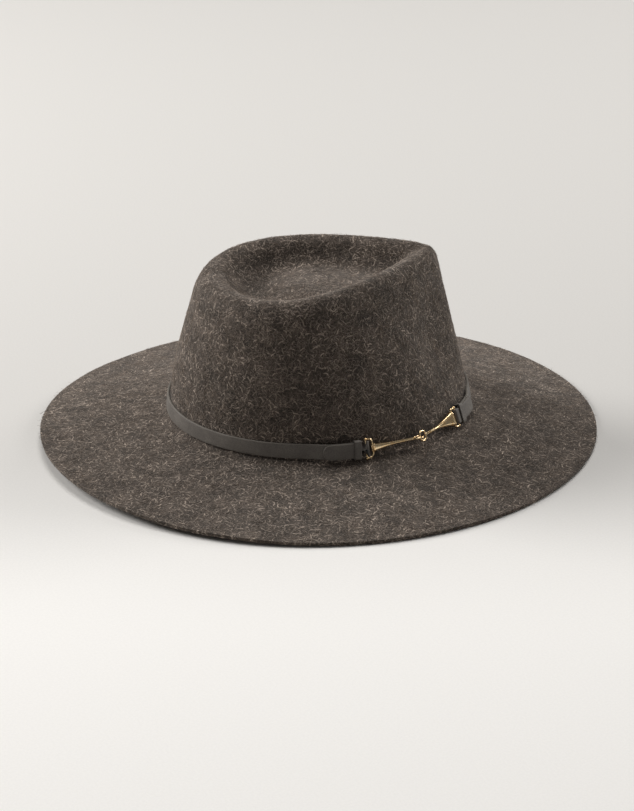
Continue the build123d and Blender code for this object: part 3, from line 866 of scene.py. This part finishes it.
def hand_blocked(piece):
    """Slight unevenness of felt shaped by hand, less where the strap sits close."""
    normals = [vert.normal.copy() for vert in piece.data.vertices]
    for vert, normal in zip(piece.data.vertices, normals):
        near_band = min(max((abs(vert.co.z / MM - STRAP_MID_Z) - 6.0) / 8.0, 0.25), 1.0)
        slow = noise.noise(vert.co * 22.0)
        quick = noise.noise(vert.co * 75.0 + Vector((3.1, 5.2, 1.7)))
        vert.co += normal * ((slow * 0.5 + quick * 0.2) * MM * near_band)
        vert.co.z = max(vert.co.z, FELT * MM)


class HAT_OT_felt(bpy.types.Operator):
    """Block the crown and brim from one felt, with a raw-cut brim edge"""

    bl_idname = "hat.felt"
    bl_label = "Felt crown and brim"

    def execute(self, context):
        settings = context.scene.hat_felt
        steps = np.arange(128) / 128 * TAU
        t = steps - 0.5 * np.sin(steps)
        piece = lofted("felt_crown_and_brim", felt_rows(t))
        bpy.ops.object.mode_set(mode="EDIT")
        shape = bmesh.from_edit_mesh(piece.data)
        big = [face for face in shape.faces if len(face.verts) > 4]
        big.sort(key=lambda face: face.calc_center_median().z)
        bmesh.ops.delete(shape, geom=[big[0]], context="FACES_ONLY")
        middle = bmesh.ops.poke(shape, faces=[big[1]])["verts"][0]
        if middle.normal.z < 0:
            bmesh.ops.reverse_faces(shape, faces=shape.faces)
        bmesh.update_edit_mesh(piece.data)
        bpy.ops.object.mode_set(mode="OBJECT")
        in_order(piece)
        apply_modifier(piece, "SUBSURF", levels=1, render_levels=1)
        hand_blocked(piece)
        skin = piece.data.copy()
        skin.name = "felt_outer_skin"
        thickness = settings.thickness
        apply_modifier(piece, "SOLIDIFY", thickness=thickness, offset=-1.0, use_even_offset=True)
        apply_modifier(piece, "BEVEL", width=0.3 * MM, segments=2, limit_method="ANGLE", angle_limit=1.0)
        smooth(piece, 50.0)
        finished(piece, "hat", [wool_felt_material(settings)], ["felt_body"])
        return {"FINISHED"}


def laid_fibres(name, spots, normals, seed, width, length_range):
    """Thin closed curls that lie on the felt: three-sided, five rings each, in one mesh."""
    chance = np.random.default_rng(seed)
    count = len(spots)
    rings = 5
    across = np.cross(normals, chance.normal(size=(count, 3)))
    across = unit(across)
    ahead = np.cross(across, normals)
    length = chance.uniform(*length_range, size=count)[:, None]
    curl = chance.normal(0, 1.0, size=(count, 1)) * chance.uniform(0.2, 1.6, size=(count, 1))
    kink = chance.normal(0, 0.5, size=(count, 1))
    lift = np.abs(chance.normal(0, 0.16, size=(count, 2))) * MM
    lift[chance.random((count, 2)) > 0.9] *= 3.0
    heading = np.zeros((count, 1))
    here = spots - ahead * length / 2
    line = []
    for i in range(rings):
        share = i / (rings - 1)
        ends = np.where(share < 0.5, lift[:, :1], lift[:, 1:]) * abs(2 * share - 1) ** 2
        line.append(here + normals * (0.05 * MM + ends))
        heading = curl * (share - 0.5) + kink * math.sin(share * 9.0)
        here = here + (ahead * np.cos(heading) + across * np.sin(heading)) * length / (rings - 1)
    line = np.stack(line, 1)
    thin = np.array([0.45, 0.9, 1.0, 0.85, 0.35]) * width / 2
    thin = thin[None, :, None] * chance.uniform(0.7, 1.3, size=(count, 1, 1))
    forward = unit(np.gradient(line, axis=1))
    side = unit(np.cross(forward, normals[:, None, :]))
    over = np.cross(side, forward)
    corners = []
    for corner in range(3):
        turn = TAU * corner / 3 + math.pi / 2
        corners.append(line + side * thin * math.cos(turn) + over * thin * math.sin(turn))
    verts = np.stack(corners, 2).reshape(-1, 3)
    single = []
    for i in range(rings - 1):
        for j in range(3):
            a, b = i * 3 + j, i * 3 + (j + 1) % 3
            single.append((a, b, b + 3, a + 3))
    single = np.array(single)
    base = (np.arange(count) * rings * 3)[:, None, None]
    quads = (single[None] + base).reshape(-1, 4)
    caps = (np.array([(2, 1, 0), (rings * 3 - 3, rings * 3 - 2, rings * 3 - 1)])[None] + base).reshape(-1, 3)
    mesh = bpy.data.meshes.new(name)
    mesh.vertices.add(len(verts))
    mesh.vertices.foreach_set("co", verts.astype(np.float32).ravel())
    corners_total = quads.size + caps.size
    mesh.loops.add(corners_total)
    mesh.loops.foreach_set("vertex_index", np.concatenate([quads.ravel(), caps.ravel()]).astype(np.int32))
    mesh.polygons.add(len(quads) + len(caps))
    starts = np.concatenate([np.arange(len(quads)) * 4, quads.size + np.arange(len(caps)) * 3])
    mesh.polygons.foreach_set("loop_start", starts.astype(np.int32))
    mesh.update(calc_edges=True)
    tint = np.clip(chance.beta(1.6, 1.7, size=count), 0, 1)
    layer = mesh.attributes.new("tint", "FLOAT", "POINT")
    layer.data.foreach_set("value", np.repeat(tint, rings * 3).astype(np.float32))
    piece = bpy.data.objects.new(name, mesh)
    bpy.context.scene.collection.objects.link(piece)
    face_outwards(piece)
    smooth(piece, 80.0)
    return piece


class HAT_OT_fibres(bpy.types.Operator):
    """Lay loose light wool fibres over the felt, region by region"""

    bl_idname = "hat.fibres"
    bl_label = "Loose wool fibres"

    def execute(self, context):
        settings = context.scene.hat_felt
        skin = bpy.data.meshes["felt_outer_skin"]
        skin.calc_loop_triangles()
        count = len(skin.loop_triangles)
        corners = np.zeros(count * 3, np.int32)
        skin.loop_triangles.foreach_get("vertices", corners)
        place = np.zeros(len(skin.vertices) * 3, np.float32)
        skin.vertices.foreach_get("co", place)
        normal = np.zeros(len(skin.vertices) * 3, np.float32)
        skin.vertices.foreach_get("normal", normal)
        corners, place, normal = corners.reshape(-1, 3), place.reshape(-1, 3), normal.reshape(-1, 3)
        first, second, third = (place[corners[:, i]] for i in range(3))
        area = np.linalg.norm(np.cross(second - first, third - first), axis=1) / 2
        centre = (first + second + third) / 3
        crown = centre[:, 2] > (STRAP_MID_Z + 6.8) * MM
        foot = np.hypot(centre[:, 0] / FOOT_HALF_WIDTH, centre[:, 1] / FOOT_HALF_LENGTH) / MM
        brim = foot > 1.035
        off_floor = centre[:, 2] > (FELT + 1.6) * MM
        clumps = np.array([noise.noise(Vector(spot) * 90.0) for spot in centre])
        area = area * np.clip(1 + 1.7 * clumps, 0.2, None)
        regions = (
            ("loose_fibres_crown_right", crown & (centre[:, 0] < -0.012), 1, 11, 1.0),
            ("loose_fibres_crown_left", crown & (centre[:, 0] >= -0.012), 1, 12, 1.0),
            ("loose_fibres_brim_right", brim & (centre[:, 0] < 0), 1, 13, 1.0),
            ("loose_fibres_brim_left", brim & (centre[:, 0] >= 0), 1, 14, 1.0),
            ("loose_fibres_under_brim", brim & off_floor, -1, 15, 0.7),
        )
        material = loose_fibre_material(settings)
        for name, inside, facing, seed, share in regions:
            chance = np.random.default_rng(seed)
            weight = np.where(inside, area, 0.0)
            picked = chance.choice(count, size=int(settings.fibres * share), p=weight / weight.sum())
            a = np.sqrt(chance.random(len(picked)))[:, None]
            b = chance.random(len(picked))[:, None]
            weights = (1 - a, a * (1 - b), a * b)
            spots = sum(w * place[corners[picked, i]] for i, w in enumerate(weights))
            normals = unit(sum(w * normal[corners[picked, i]] for i, w in enumerate(weights)))
            if facing < 0:
                spots = spots - normals * settings.thickness
                normals = -normals
            piece = laid_fibres(name, spots, normals, seed + 100, settings.fibre_width, (2.0 * MM, 7.5 * MM))
            finished(piece, "hat", [material])
        bpy.data.meshes.remove(skin)
        return {"FINISHED"}


def strap_stations():
    """The strap's path as (origin, across, out, half width): tongue, fold, round the hat, fold, tongue."""
    near = STRAP_GAP + STRAP_THICKNESS / 2
    far = STRAP_GAP + STRAP_THICKNESS * 1.5 + TONGUE_LAYER_GAP
    fold = PIN_RADIUS + PIN_TO_FOLD + STRAP_THICKNESS / 2
    half = STRAP_WIDTH / 2
    stations = []

    def on_wall(t, out, half_width):
        low = wall_at(t, STRAP_Z, out)
        high = wall_at(t, STRAP_Z + STRAP_WIDTH, out)
        origin, _, _, outward = axes_on(wall_at, t, STRAP_MID_Z, out)
        stations.append(((low + high) / 2, unit(high - low), outward, half_width))

    def tip(side, outwards):
        rounded_tip = [0.0, 0.05, 0.2, 0.45, 0.8, 1.3, 1.9, 2.6, 3.4, 4.2]
        back = np.concatenate([rounded_tip, np.linspace(5.5, 23.0, 12)])
        for step in back if outwards else back[::-1]:
            inset = TONGUE_CORNER - step
            narrow = TONGUE_CORNER - math.sqrt(TONGUE_CORNER**2 - max(inset, 0.0) ** 2)
            t = float(strap_turn(side * (TONGUE_TIP - step)))
            on_wall(t, far + float(strap_lift(t)), half - narrow)

    def turn_back(side, outer_first):
        origin, ahead, out, pin, _ = bit_frame(side)
        places = []
        for turn in np.radians(np.linspace(82, -82, 13)):
            places.append((fold * math.cos(turn), fold * math.sin(turn), turn))
        if not outer_first:
            places = places[::-1]
        for x, y, turn in places:
            facing = ahead * math.cos(turn) + out * math.sin(turn)
            outward = facing if outer_first else -facing
            stations.append((origin + ahead * x + out * y, pin, outward, half))

    tip(-1, True)
    turn_back(-1, True)
    low_turn, high_turn = strap_turn([-(BIT_PIN_ARC + FOLD_TAIL), BIT_PIN_ARC + FOLD_TAIL])
    for t in np.linspace(low_turn, high_turn - TAU, 230):
        on_wall(t, near + float(strap_lift(t)), half)
    turn_back(1, False)
    tip(1, False)
    return stations


class HAT_OT_strap(bpy.types.Operator):
    """Sweep the leather strap round the crown, fold each end round its pin and turn it back"""

    bl_idname = "hat.strap"
    bl_label = "Band strap"

    def execute(self, context):
        settings = context.scene.hat_band
        rings = []
        stations = strap_stations()
        outwards = np.array([station[2] for station in stations])
        flip = 1.0
        for i, (origin, across, out, half_width) in enumerate(stations):
            if i and np.dot(outwards[i], outwards[i - 1]) < 0:
                flip = -flip
            facing = out * flip
            section = round_section(max(half_width, 0.6), STRAP_THICKNESS / 2, STRAP_EDGE_ROUND)
            rings.append([origin + across * a + facing * b for a, b in section])
        piece = swept("leather_strap", rings, closed=False)
        smooth(piece, 50.0)
        face = leather_material("strap_leather", settings.leather, settings.leather_light, 0.5, 1500.0, 0.35)
        edge = leather_material("strap_cut_edge", settings.edge, settings.leather_light, 0.6, 2400.0, 0.2)
        finished(piece, "band", [face, edge], ["band_strap"])
        for polygon in piece.data.polygons:
            if abs(polygon.normal.z) > 0.6:
                polygon.material_index = 1
        return {"FINISHED"}


class HAT_OT_keepers(bpy.types.Operator):
    """Close a narrow leather loop round the strap and each tongue"""

    bl_idname = "hat.keepers"
    bl_label = "Keeper loops"

    def execute(self, context):
        settings = context.scene.hat_band
        dyes = settings.leather, settings.leather_light
        face = leather_material("keeper_leather", *dyes, 0.47, 1500.0, 0.35)
        near = STRAP_GAP + STRAP_LIFT
        grow = KEEPER_GAP + KEEPER_WALL / 2
        for side, body in ((-1, "rear_keeper_loop"), (1, "front_keeper_loop")):
            t = float(strap_turn(side * KEEPER_ARC))
            low = wall_at(t, STRAP_Z, near + STRAP_THICKNESS)
            high = wall_at(t, STRAP_Z + STRAP_WIDTH, near + STRAP_THICKNESS)
            _, along, _, _ = axes_on(wall_at, t, STRAP_MID_Z, near)
            up = unit(high - low)
            out = unit(np.cross(along, up))
            centre = (low + high) / 2
            half_height = np.linalg.norm(high - low) / 2 + grow
            path = round_section(half_height, STRAP_THICKNESS + grow, 0.75, steps=6)
            rings = []
            count = len(path)
            for i in range(count):
                ahead = path[(i + 1) % count] - path[i - 1]
                ahead = ahead / np.linalg.norm(ahead)
                outward = up * ahead[1] - out * ahead[0]
                origin = centre + up * path[i][0] + out * path[i][1]
                section = round_section(KEEPER_WIDTH / 2, KEEPER_WALL / 2, 0.24, steps=3)
                rings.append([origin + along * a + outward * b for a, b in section])
            piece = swept(f"{body}_leather", rings, closed=True)
            smooth(piece, 50.0)
            finished(piece, body, [face], [body.replace("_loop", "")])
        return {"FINISHED"}


def horn_ring(frame_axes, x, half_depth, half_height, squareness):
    """One ring of the horn or shaft: a rounded rectangle that becomes a circle as squareness nears 2."""
    origin, ahead, out, pin, _ = frame_axes
    ring = []
    for turn in np.arange(40) / 40 * TAU:
        c, s = math.cos(turn), math.sin(turn)
        a = half_depth * math.copysign(abs(c) ** (2 / squareness), c)
        b = half_height * math.copysign(abs(s) ** (2 / squareness), s)
        ring.append(origin + ahead * x + out * a - pin * b)
    return ring


def tube(name, line, radius, count=14):
    """A round rod along a line of points."""
    line = np.asarray(line, float)
    ahead = unit(np.gradient(line, axis=0))
    side = unit(np.cross(ahead, [0.3, 0.2, 1.0]))
    over = np.cross(ahead, side)
    rings = []
    for point, a, b in zip(line, side, over):
        turns = np.arange(count) / count * TAU
        rings.append(point + radius * (np.outer(np.cos(turns), a) + np.outer(np.sin(turns), b)))
    return lofted(name, rings)


class HAT_OT_bit(bpy.types.Operator):
    """Make each half of the bit: a hook with ball ends, the flared horn on its back, a shaft and an eye"""

    bl_idname = "hat.bit"
    bl_label = "Jointed bit"

    def execute(self, context):
        material = gold_material(context.scene.hat_metal)
        for side, turn, body in ((-1, 0, "rear_bit"), (1, 90, "front_bit")):
            axes = bit_frame(side)
            origin, ahead, out, pin, reach = axes
            eye = reach - (EYE_RADIUS - EYE_WIRE - EYE_SLACK / 2)
            neck = eye - EYE_RADIUS
            mouth, flare_end = MOUTH_HALVES[side], MOUTH + FLARE_RUNS[side]
            profile = [
                (neck + 0.35, 0.25, 0.25, 2.0),
                (neck + 0.1, 0.68, 0.68, 2.0),
                (neck - 0.6, 0.88, 0.88, 2.0),
            ]
            for share in np.linspace(1.0, 0.0, 12):
                x = mix(MOUTH + LIP_LENGTH, flare_end, share)
                flare = (1 - share) ** FLARE_CURVE
                depth = mix(SHAFT_RADIUS, HORN_HALF_DEPTH - 0.25, flare)
                height = mix(SHAFT_RADIUS, mouth - 0.35, flare)
                profile.append((x, depth, height, 2.0 + 2.2 * flare))
            profile += [
                (MOUTH + 1.0, HORN_HALF_DEPTH - 0.06, mouth - 0.06, 4.4),
                (MOUTH + 0.75, HORN_HALF_DEPTH, mouth, 4.4),
                (MOUTH + 0.25, HORN_HALF_DEPTH, mouth, 4.4),
                (MOUTH, HORN_HALF_DEPTH - 0.35, mouth - 0.35, 4.4),
                (MOUTH + 0.3, HORN_HALF_DEPTH - 0.72, mouth - 0.75, 4.2),
                (MOUTH + 1.4, HORN_HALF_DEPTH - 1.0, mouth - 1.3, 4.0),
                (MOUTH + 1.5, HORN_HALF_DEPTH - 1.4, mouth - 1.7, 3.6),
            ]
            horn = lofted("horn", [horn_ring(axes, *row) for row in profile])
            smooth(horn, 42.0)
            parts = [horn]
            hook = [(x, ARM_HEIGHT) for x in (*HOOK_START, HOOK_BACK - HOOK_BEND)]
            for turn_share in np.linspace(1 / 6, 1, 6):
                bow = turn_share * math.pi / 2
                rise = HOOK_BEND * (1 - math.cos(bow))
                hook.append((HOOK_BACK - HOOK_BEND * (1 - math.sin(bow)), ARM_HEIGHT - rise))
            hook.append((HOOK_BACK, ARM_HEIGHT / 4))
            hook += [(x, -level) for x, level in reversed(hook)]
            line = [origin + ahead * x + pin * level for x, level in hook]
            arm = tube("hook", line, ARM_RADIUS)
            smooth(arm, 60.0)
            parts.append(arm)
            for level in (-1, 1):
                select_nothing()
                spot = (origin + pin * level * (ARM_HEIGHT + KNOB_STEP)) * MM
                bpy.ops.mesh.primitive_uv_sphere_add(
                    segments=28, ring_count=16, radius=KNOB_RADIUS * MM, location=spot
                )
                knob = bpy.context.object
                bpy.ops.object.transform_apply(location=True, rotation=True, scale=True)
                in_order(knob)
                smooth(knob, 60.0)
                parts.append(knob)
            select_nothing()
            bpy.ops.mesh.primitive_torus_add(
                major_segments=64,
                minor_segments=18,
                major_radius=EYE_RADIUS * MM,
                minor_radius=EYE_WIRE * MM,
            )
            ring = bpy.context.object
            basis = Matrix((ahead, out, pin)).transposed().to_4x4()
            rolled = Matrix.Rotation(math.radians(turn), 4, "X")
            ring.data.transform(Matrix.Translation((origin + ahead * eye) * MM) @ basis @ rolled)
            in_order(ring)
            smooth(ring, 60.0)
            parts.append(ring)
            piece = joined(f"{body}_gold", *parts)
            finished(piece, body, [material], [f"{body}_half"])
            pin_node = frame["nodes"][f"{body.split('_')[0]}_cross_pin"]
            pin_node.data.materials.clear()
            pin_node.data.materials.append(material)
        return {"FINISHED"}


class HAT_OT_sweatband(bpy.types.Operator):
    """Line the head opening with a leather sweatband, its stitches and its reed"""

    bl_idname = "hat.sweatband"
    bl_label = "Sweatband"

    def execute(self, context):
        settings = context.scene.hat_inside
        count = 180
        turns = np.arange(count) / count * TAU
        section = round_section(SWEAT_HEIGHT / 2, SWEAT_THICKNESS / 2, 0.4, steps=3)
        rings = []
        middle = SWEAT_Z + SWEAT_HEIGHT / 2
        for t in turns:
            rings.append([sweat_at(t, middle + a, (SWEAT_OUT + SWEAT_IN) / 2 + b) for a, b in section])
        piece = swept("sweatband_band", rings, closed=True)
        smooth(piece, 50.0)
        lighter = tuple(part * 1.5 for part in settings.sweatband)
        leather = leather_material("sweatband_leather", settings.sweatband, lighter, 0.52, 1100.0, 0.4)
        finished(piece, "hat", [leather], ["sweatband"])

        height = SWEAT_Z + 3.0
        line_turns = np.linspace(0, TAU, 2401)
        line = sweat_at(line_turns, np.full(2401, height), SWEAT_IN)
        run = np.concatenate([[0], np.cumsum(np.linalg.norm(np.diff(line, axis=0), axis=1))])
        pitch = settings.stitch_length / MM * 1.35
        places = np.interp(np.arange(0, run[-1] - pitch / 2, pitch), run, line_turns)
        select_nothing()
        bpy.ops.mesh.primitive_uv_sphere_add(segments=8, ring_count=6, radius=0.5)
        stitch = bpy.context.object
        in_order(stitch)
        shape = np.zeros(len(stitch.data.vertices) * 3, np.float32)
        stitch.data.vertices.foreach_get("co", shape)
        shape = shape.reshape(-1, 3)
        sizes = np.array([settings.stitch_length / MM, 0.5, 0.42])
        faces = [tuple(polygon.vertices) for polygon in stitch.data.polygons]
        bpy.data.objects.remove(stitch)
        verts, polygons = [], []
        for t in places:
            origin, along, up, out = axes_on(sweat_at, t, height, SWEAT_IN)
            start = len(verts) * len(shape)
            tilt = unit(along + up * 0.08)
            verts.append(origin + (shape * sizes) @ np.array([tilt, up, out]) - out * 0.08)
            polygons += [tuple(start + i for i in face) for face in faces]
        mesh = bpy.data.meshes.new("sweatband_stitches")
        mesh.from_pydata((np.concatenate(verts) * MM).tolist(), [], polygons)
        thread = bpy.data.objects.new("sweatband_stitches", mesh)
        context.scene.collection.objects.link(thread)
        face_outwards(thread)
        smooth(thread, 60.0)
        thread_tone = tuple(part * 2.2 for part in settings.ribbon)
        finished(thread, "hat", [ribbon_material("sewing_thread", thread_tone, 900.0)])

        reed = frame["nodes"]["sweatband_reed"]
        reed.data.materials.clear()
        reed.data.materials.append(
            leather_material("reed_cover", settings.sweatband, lighter, 0.6, 1600.0, 0.3)
        )
        return {"FINISHED"}


class HAT_OT_trim(bpy.types.Operator):
    """Cover the sweatband's join with tape, tie the small bow and sew in the blank size tab"""

    bl_idname = "hat.trim"
    bl_label = "Tape, bow and tab"

    def execute(self, context):
        settings = context.scene.hat_inside
        ribbon = ribbon_material("grosgrain_ribbon", settings.ribbon, 420.0)
        low = SWEAT_Z + TAPE_MARGIN
        high = SWEAT_Z + SWEAT_HEIGHT - TAPE_MARGIN

        def patch(name, t, z_low, z_high, width, thickness, rows):
            _, along, _, _ = axes_on(sweat_at, t, (z_low + z_high) / 2, TRIM_OUT)
            section = round_section(width / 2, thickness / 2, thickness * 0.4, steps=2)
            chord = sweat_at(t + 0.005, z_low, TRIM_OUT) - sweat_at(t - 0.005, z_low, TRIM_OUT)
            per_mm = np.linalg.norm(chord) / 0.01
            rings = []
            for z in np.linspace(z_low, z_high, rows):
                turns = t + section[:, 0] / per_mm
                middle = TRIM_OUT - thickness / 2
                rings.append([sweat_at(turn, z, middle + b) for turn, (_, b) in zip(turns, section)])
            piece = lofted(name, rings)
            smooth(piece, 50.0)
            return piece

        tape = patch("seam_tape_ribbon", math.pi, low, high, TAPE_WIDTH, TAPE_THICKNESS, 24)
        finished(tape, "hat", [ribbon], ["sweatband_seam_tape"])
        tab = patch("size_tab_cloth", TAB_ANGLE, low, low + TAB_HEIGHT, TAB_WIDTH, TAB_THICKNESS, 8)
        finished(tab, "hat", [ribbon_material("tab_weave", settings.tab, 1300.0)], ["size_tab"])

        stand = TRIM_OUT - TAPE_THICKNESS - 0.5
        origin, along, up, out = axes_on(sweat_at, math.pi, SWEAT_Z + BOW_UP, stand)
        parts = []
        for side in (-1, 1):
            rings = []
            steps = 26
            for i in range(steps):
                turn = TAU * i / steps
                x = side * (BOW_LENGTH / 4 + 0.3 - (BOW_LENGTH / 4 - 0.35) * math.cos(turn))
                reach = abs(x) / (BOW_LENGTH / 2)
                half_height = BOW_HEIGHT / 2 * (0.34 + 0.66 * reach**0.8)
                depth = -0.6 - 0.5 * math.sin(turn) * (0.35 + 0.65 * reach)
                normal_x, normal_d = -side * math.cos(turn), -math.sin(turn)
                centre = origin + along * x + out * depth
                facing = unit(along * normal_x * 0.6 + out * normal_d)
                section = round_section(half_height, 0.16, 0.06, steps=2)
                rings.append([centre + up * a + facing * b for a, b in section])
            parts.append(swept("loop", rings, closed=True))
        select_nothing()
        bpy.ops.mesh.primitive_cube_add(size=1.0)
        knot = bpy.context.object
        knot.data.transform(Matrix.Diagonal((3.0, 3.2, 1.5, 1.0)))
        bpy.ops.object.mode_set(mode="EDIT")
        bpy.ops.mesh.select_all(action="SELECT")
        bpy.ops.mesh.subdivide(number_cuts=2)
        bpy.ops.object.mode_set(mode="OBJECT")
        apply_modifier(knot, "SUBSURF", levels=2, render_levels=2)
        basis = Matrix((along, up, out)).transposed().to_4x4()
        knot.data.transform(Matrix.Scale(MM, 4))
        knot.data.transform(Matrix.Translation((origin - out * 0.7) * MM) @ basis)
        parts.append(knot)
        for part in parts:
            smooth(part, 50.0)
        bow = joined("bow_ribbon", *parts)
        finished(bow, "hat", [ribbon], ["sweatband_bow"])
        return {"FINISHED"}


def paper_material(settings):
    """Seamless paper with painted shade: its colour falls off a little in the distance, darker along one
    fixed direction taken from the stage's azimuth.
    """
    material, tree, shader = new_material("seamless_paper", **{"Roughness": 0.9, "Specular IOR Level": 0.15})
    place = object_place(tree)
    line = (math.cos(settings.azimuth), -math.sin(settings.azimuth), 0.0)
    away = vector_maths(tree, "DOT_PRODUCT", place, line)
    # painted shade: the far tone darkens the paper away from the camera's side, standing in for the light's
    # falloff
    far = tuple(part * factor for part, factor in zip(settings.floor, (0.69, 0.686, 0.68)))
    tone = mixed(tree, between(tree, away, -0.3, 0.04), rgba(settings.floor), rgba(far))
    fleck = between(tree, noise_of(tree, place, 700.0, 2.0), 0.3, 0.7, 0.985, 1.015)
    tree.links.new(shaded(tree, tone, fleck), shader.inputs["Base Color"])
    return material


# Each softbox: name, metres to the camera's right, away from it and up, its size, and its power in watts
SOFTBOXES = (
    ("top_softbox", 0.0, 1.0, 2.9, 1.8, 46.0),
    ("left_softbox", -2.0, 0.6, 1.15, 1.3, 52.0),
    ("right_softbox", 2.0, 1.1, 1.1, 1.3, 26.0),
)


def soft_light(name, place, target, size, power, colour):
    lamp = bpy.data.lights.new(name, "AREA")
    lamp.shape = "DISK"
    lamp.size = size
    lamp.energy = power
    lamp.color = colour
    holder = bpy.data.objects.new(name, lamp)
    bpy.context.scene.collection.objects.link(holder)
    holder.location = place
    holder.rotation_euler = (Vector(target) - Vector(place)).to_track_quat("-Z", "Y").to_euler()


class HAT_OT_stage(bpy.types.Operator):
    """Set the pale floor, the soft studio lights and the camera"""

    bl_idname = "hat.stage"
    bl_label = "Floor, lights and camera"

    def execute(self, context):
        settings = context.scene.hat_stage
        scene = context.scene
        select_nothing()
        spot = (0.0, 0.0, -FLOOR_GAP * MM)
        bpy.ops.mesh.primitive_grid_add(x_subdivisions=8, y_subdivisions=8, size=16.0, location=spot)
        floor = context.object
        floor.name = "paper_floor"
        floor.data.materials.append(paper_material(settings))

        azimuth, elevation = settings.azimuth, settings.elevation
        back = Vector((-math.cos(azimuth) * math.cos(elevation), math.sin(azimuth) * math.cos(elevation), 0))
        back.z = math.sin(elevation)
        right = Vector((-math.sin(azimuth), -math.cos(azimuth), 0))
        up = back.cross(right)
        target = Vector((0, 0, CAMERA_AIM * MM))
        eye = bpy.data.cameras.new("studio_camera")
        eye.lens = settings.lens
        eye.sensor_width = 36.0
        camera = bpy.data.objects.new("studio_camera", eye)
        scene.collection.objects.link(camera)
        shift = right * (CAMERA_LEFT * MM) + up * (CAMERA_DOWN * MM)
        camera.location = target + back * settings.distance - shift
        camera.rotation_euler = back.to_track_quat("Z", "Y").to_euler()
        scene.camera = camera

        world = bpy.data.worlds.new("studio_air")
        scene.world = world
        world.use_nodes = True
        world.node_tree.nodes["Background"].inputs[0].default_value = (1.0, 0.985, 0.965, 1.0)
        world.node_tree.nodes["Background"].inputs[1].default_value = 0.12
        away = Vector((math.cos(azimuth), -math.sin(azimuth), 0))
        warm = (1.0, 0.985, 0.965)
        middle = (0, 0, 0.05)
        for name, sideways, further, height, size, power in SOFTBOXES:
            place = right * sideways + away * further + Vector((0, 0, height))
            soft_light(name, place, middle, size, power, warm)
        scene.view_settings.view_transform = "Standard"
        return {"FINISHED"}


class HAT_PT_panel(bpy.types.Panel):
    """Everything that makes the hat"""

    bl_label = "Felt hat"
    bl_idname = "HAT_PT_panel"
    bl_space_type = "VIEW_3D"
    bl_region_type = "UI"
    bl_category = "Hat"

    def draw(self, context):
        for name in SETTINGS:
            box = self.layout.box()
            box.label(text=name.replace("hat_", "").title())
            group = getattr(context.scene, name)
            for key in group.bl_rna.properties.keys():
                if key not in ("rna_type", "name"):
                    box.prop(group, key)
        for operator in OPERATORS:
            self.layout.operator(operator.bl_idname)


SETTINGS = {
    "hat_stage": HatStage,
    "hat_felt": HatFelt,
    "hat_band": HatBand,
    "hat_metal": HatMetal,
    "hat_inside": HatInside,
}
OPERATORS = (
    HAT_OT_stage,
    HAT_OT_felt,
    HAT_OT_fibres,
    HAT_OT_strap,
    HAT_OT_keepers,
    HAT_OT_bit,
    HAT_OT_sweatband,
    HAT_OT_trim,
)


def register():
    for name, group in SETTINGS.items():
        bpy.utils.register_class(group)
        setattr(bpy.types.Scene, name, bpy.props.PointerProperty(type=group))
    for operator in OPERATORS:
        bpy.utils.register_class(operator)
    bpy.utils.register_class(HAT_PT_panel)


def unregister():
    bpy.utils.unregister_class(HAT_PT_panel)
    for operator in reversed(OPERATORS):
        bpy.utils.unregister_class(operator)
    for name, group in reversed(SETTINGS.items()):
        delattr(bpy.types.Scene, name)
        bpy.utils.unregister_class(group)


def main():
    register()
    bpy.ops.hat.stage()
    bpy.ops.hat.felt()
    bpy.ops.hat.fibres()
    bpy.ops.hat.strap()
    bpy.ops.hat.keepers()
    bpy.ops.hat.bit()
    bpy.ops.hat.sweatband()
    bpy.ops.hat.trim()
    select_nothing()


if __name__ == "__main__":
    main()
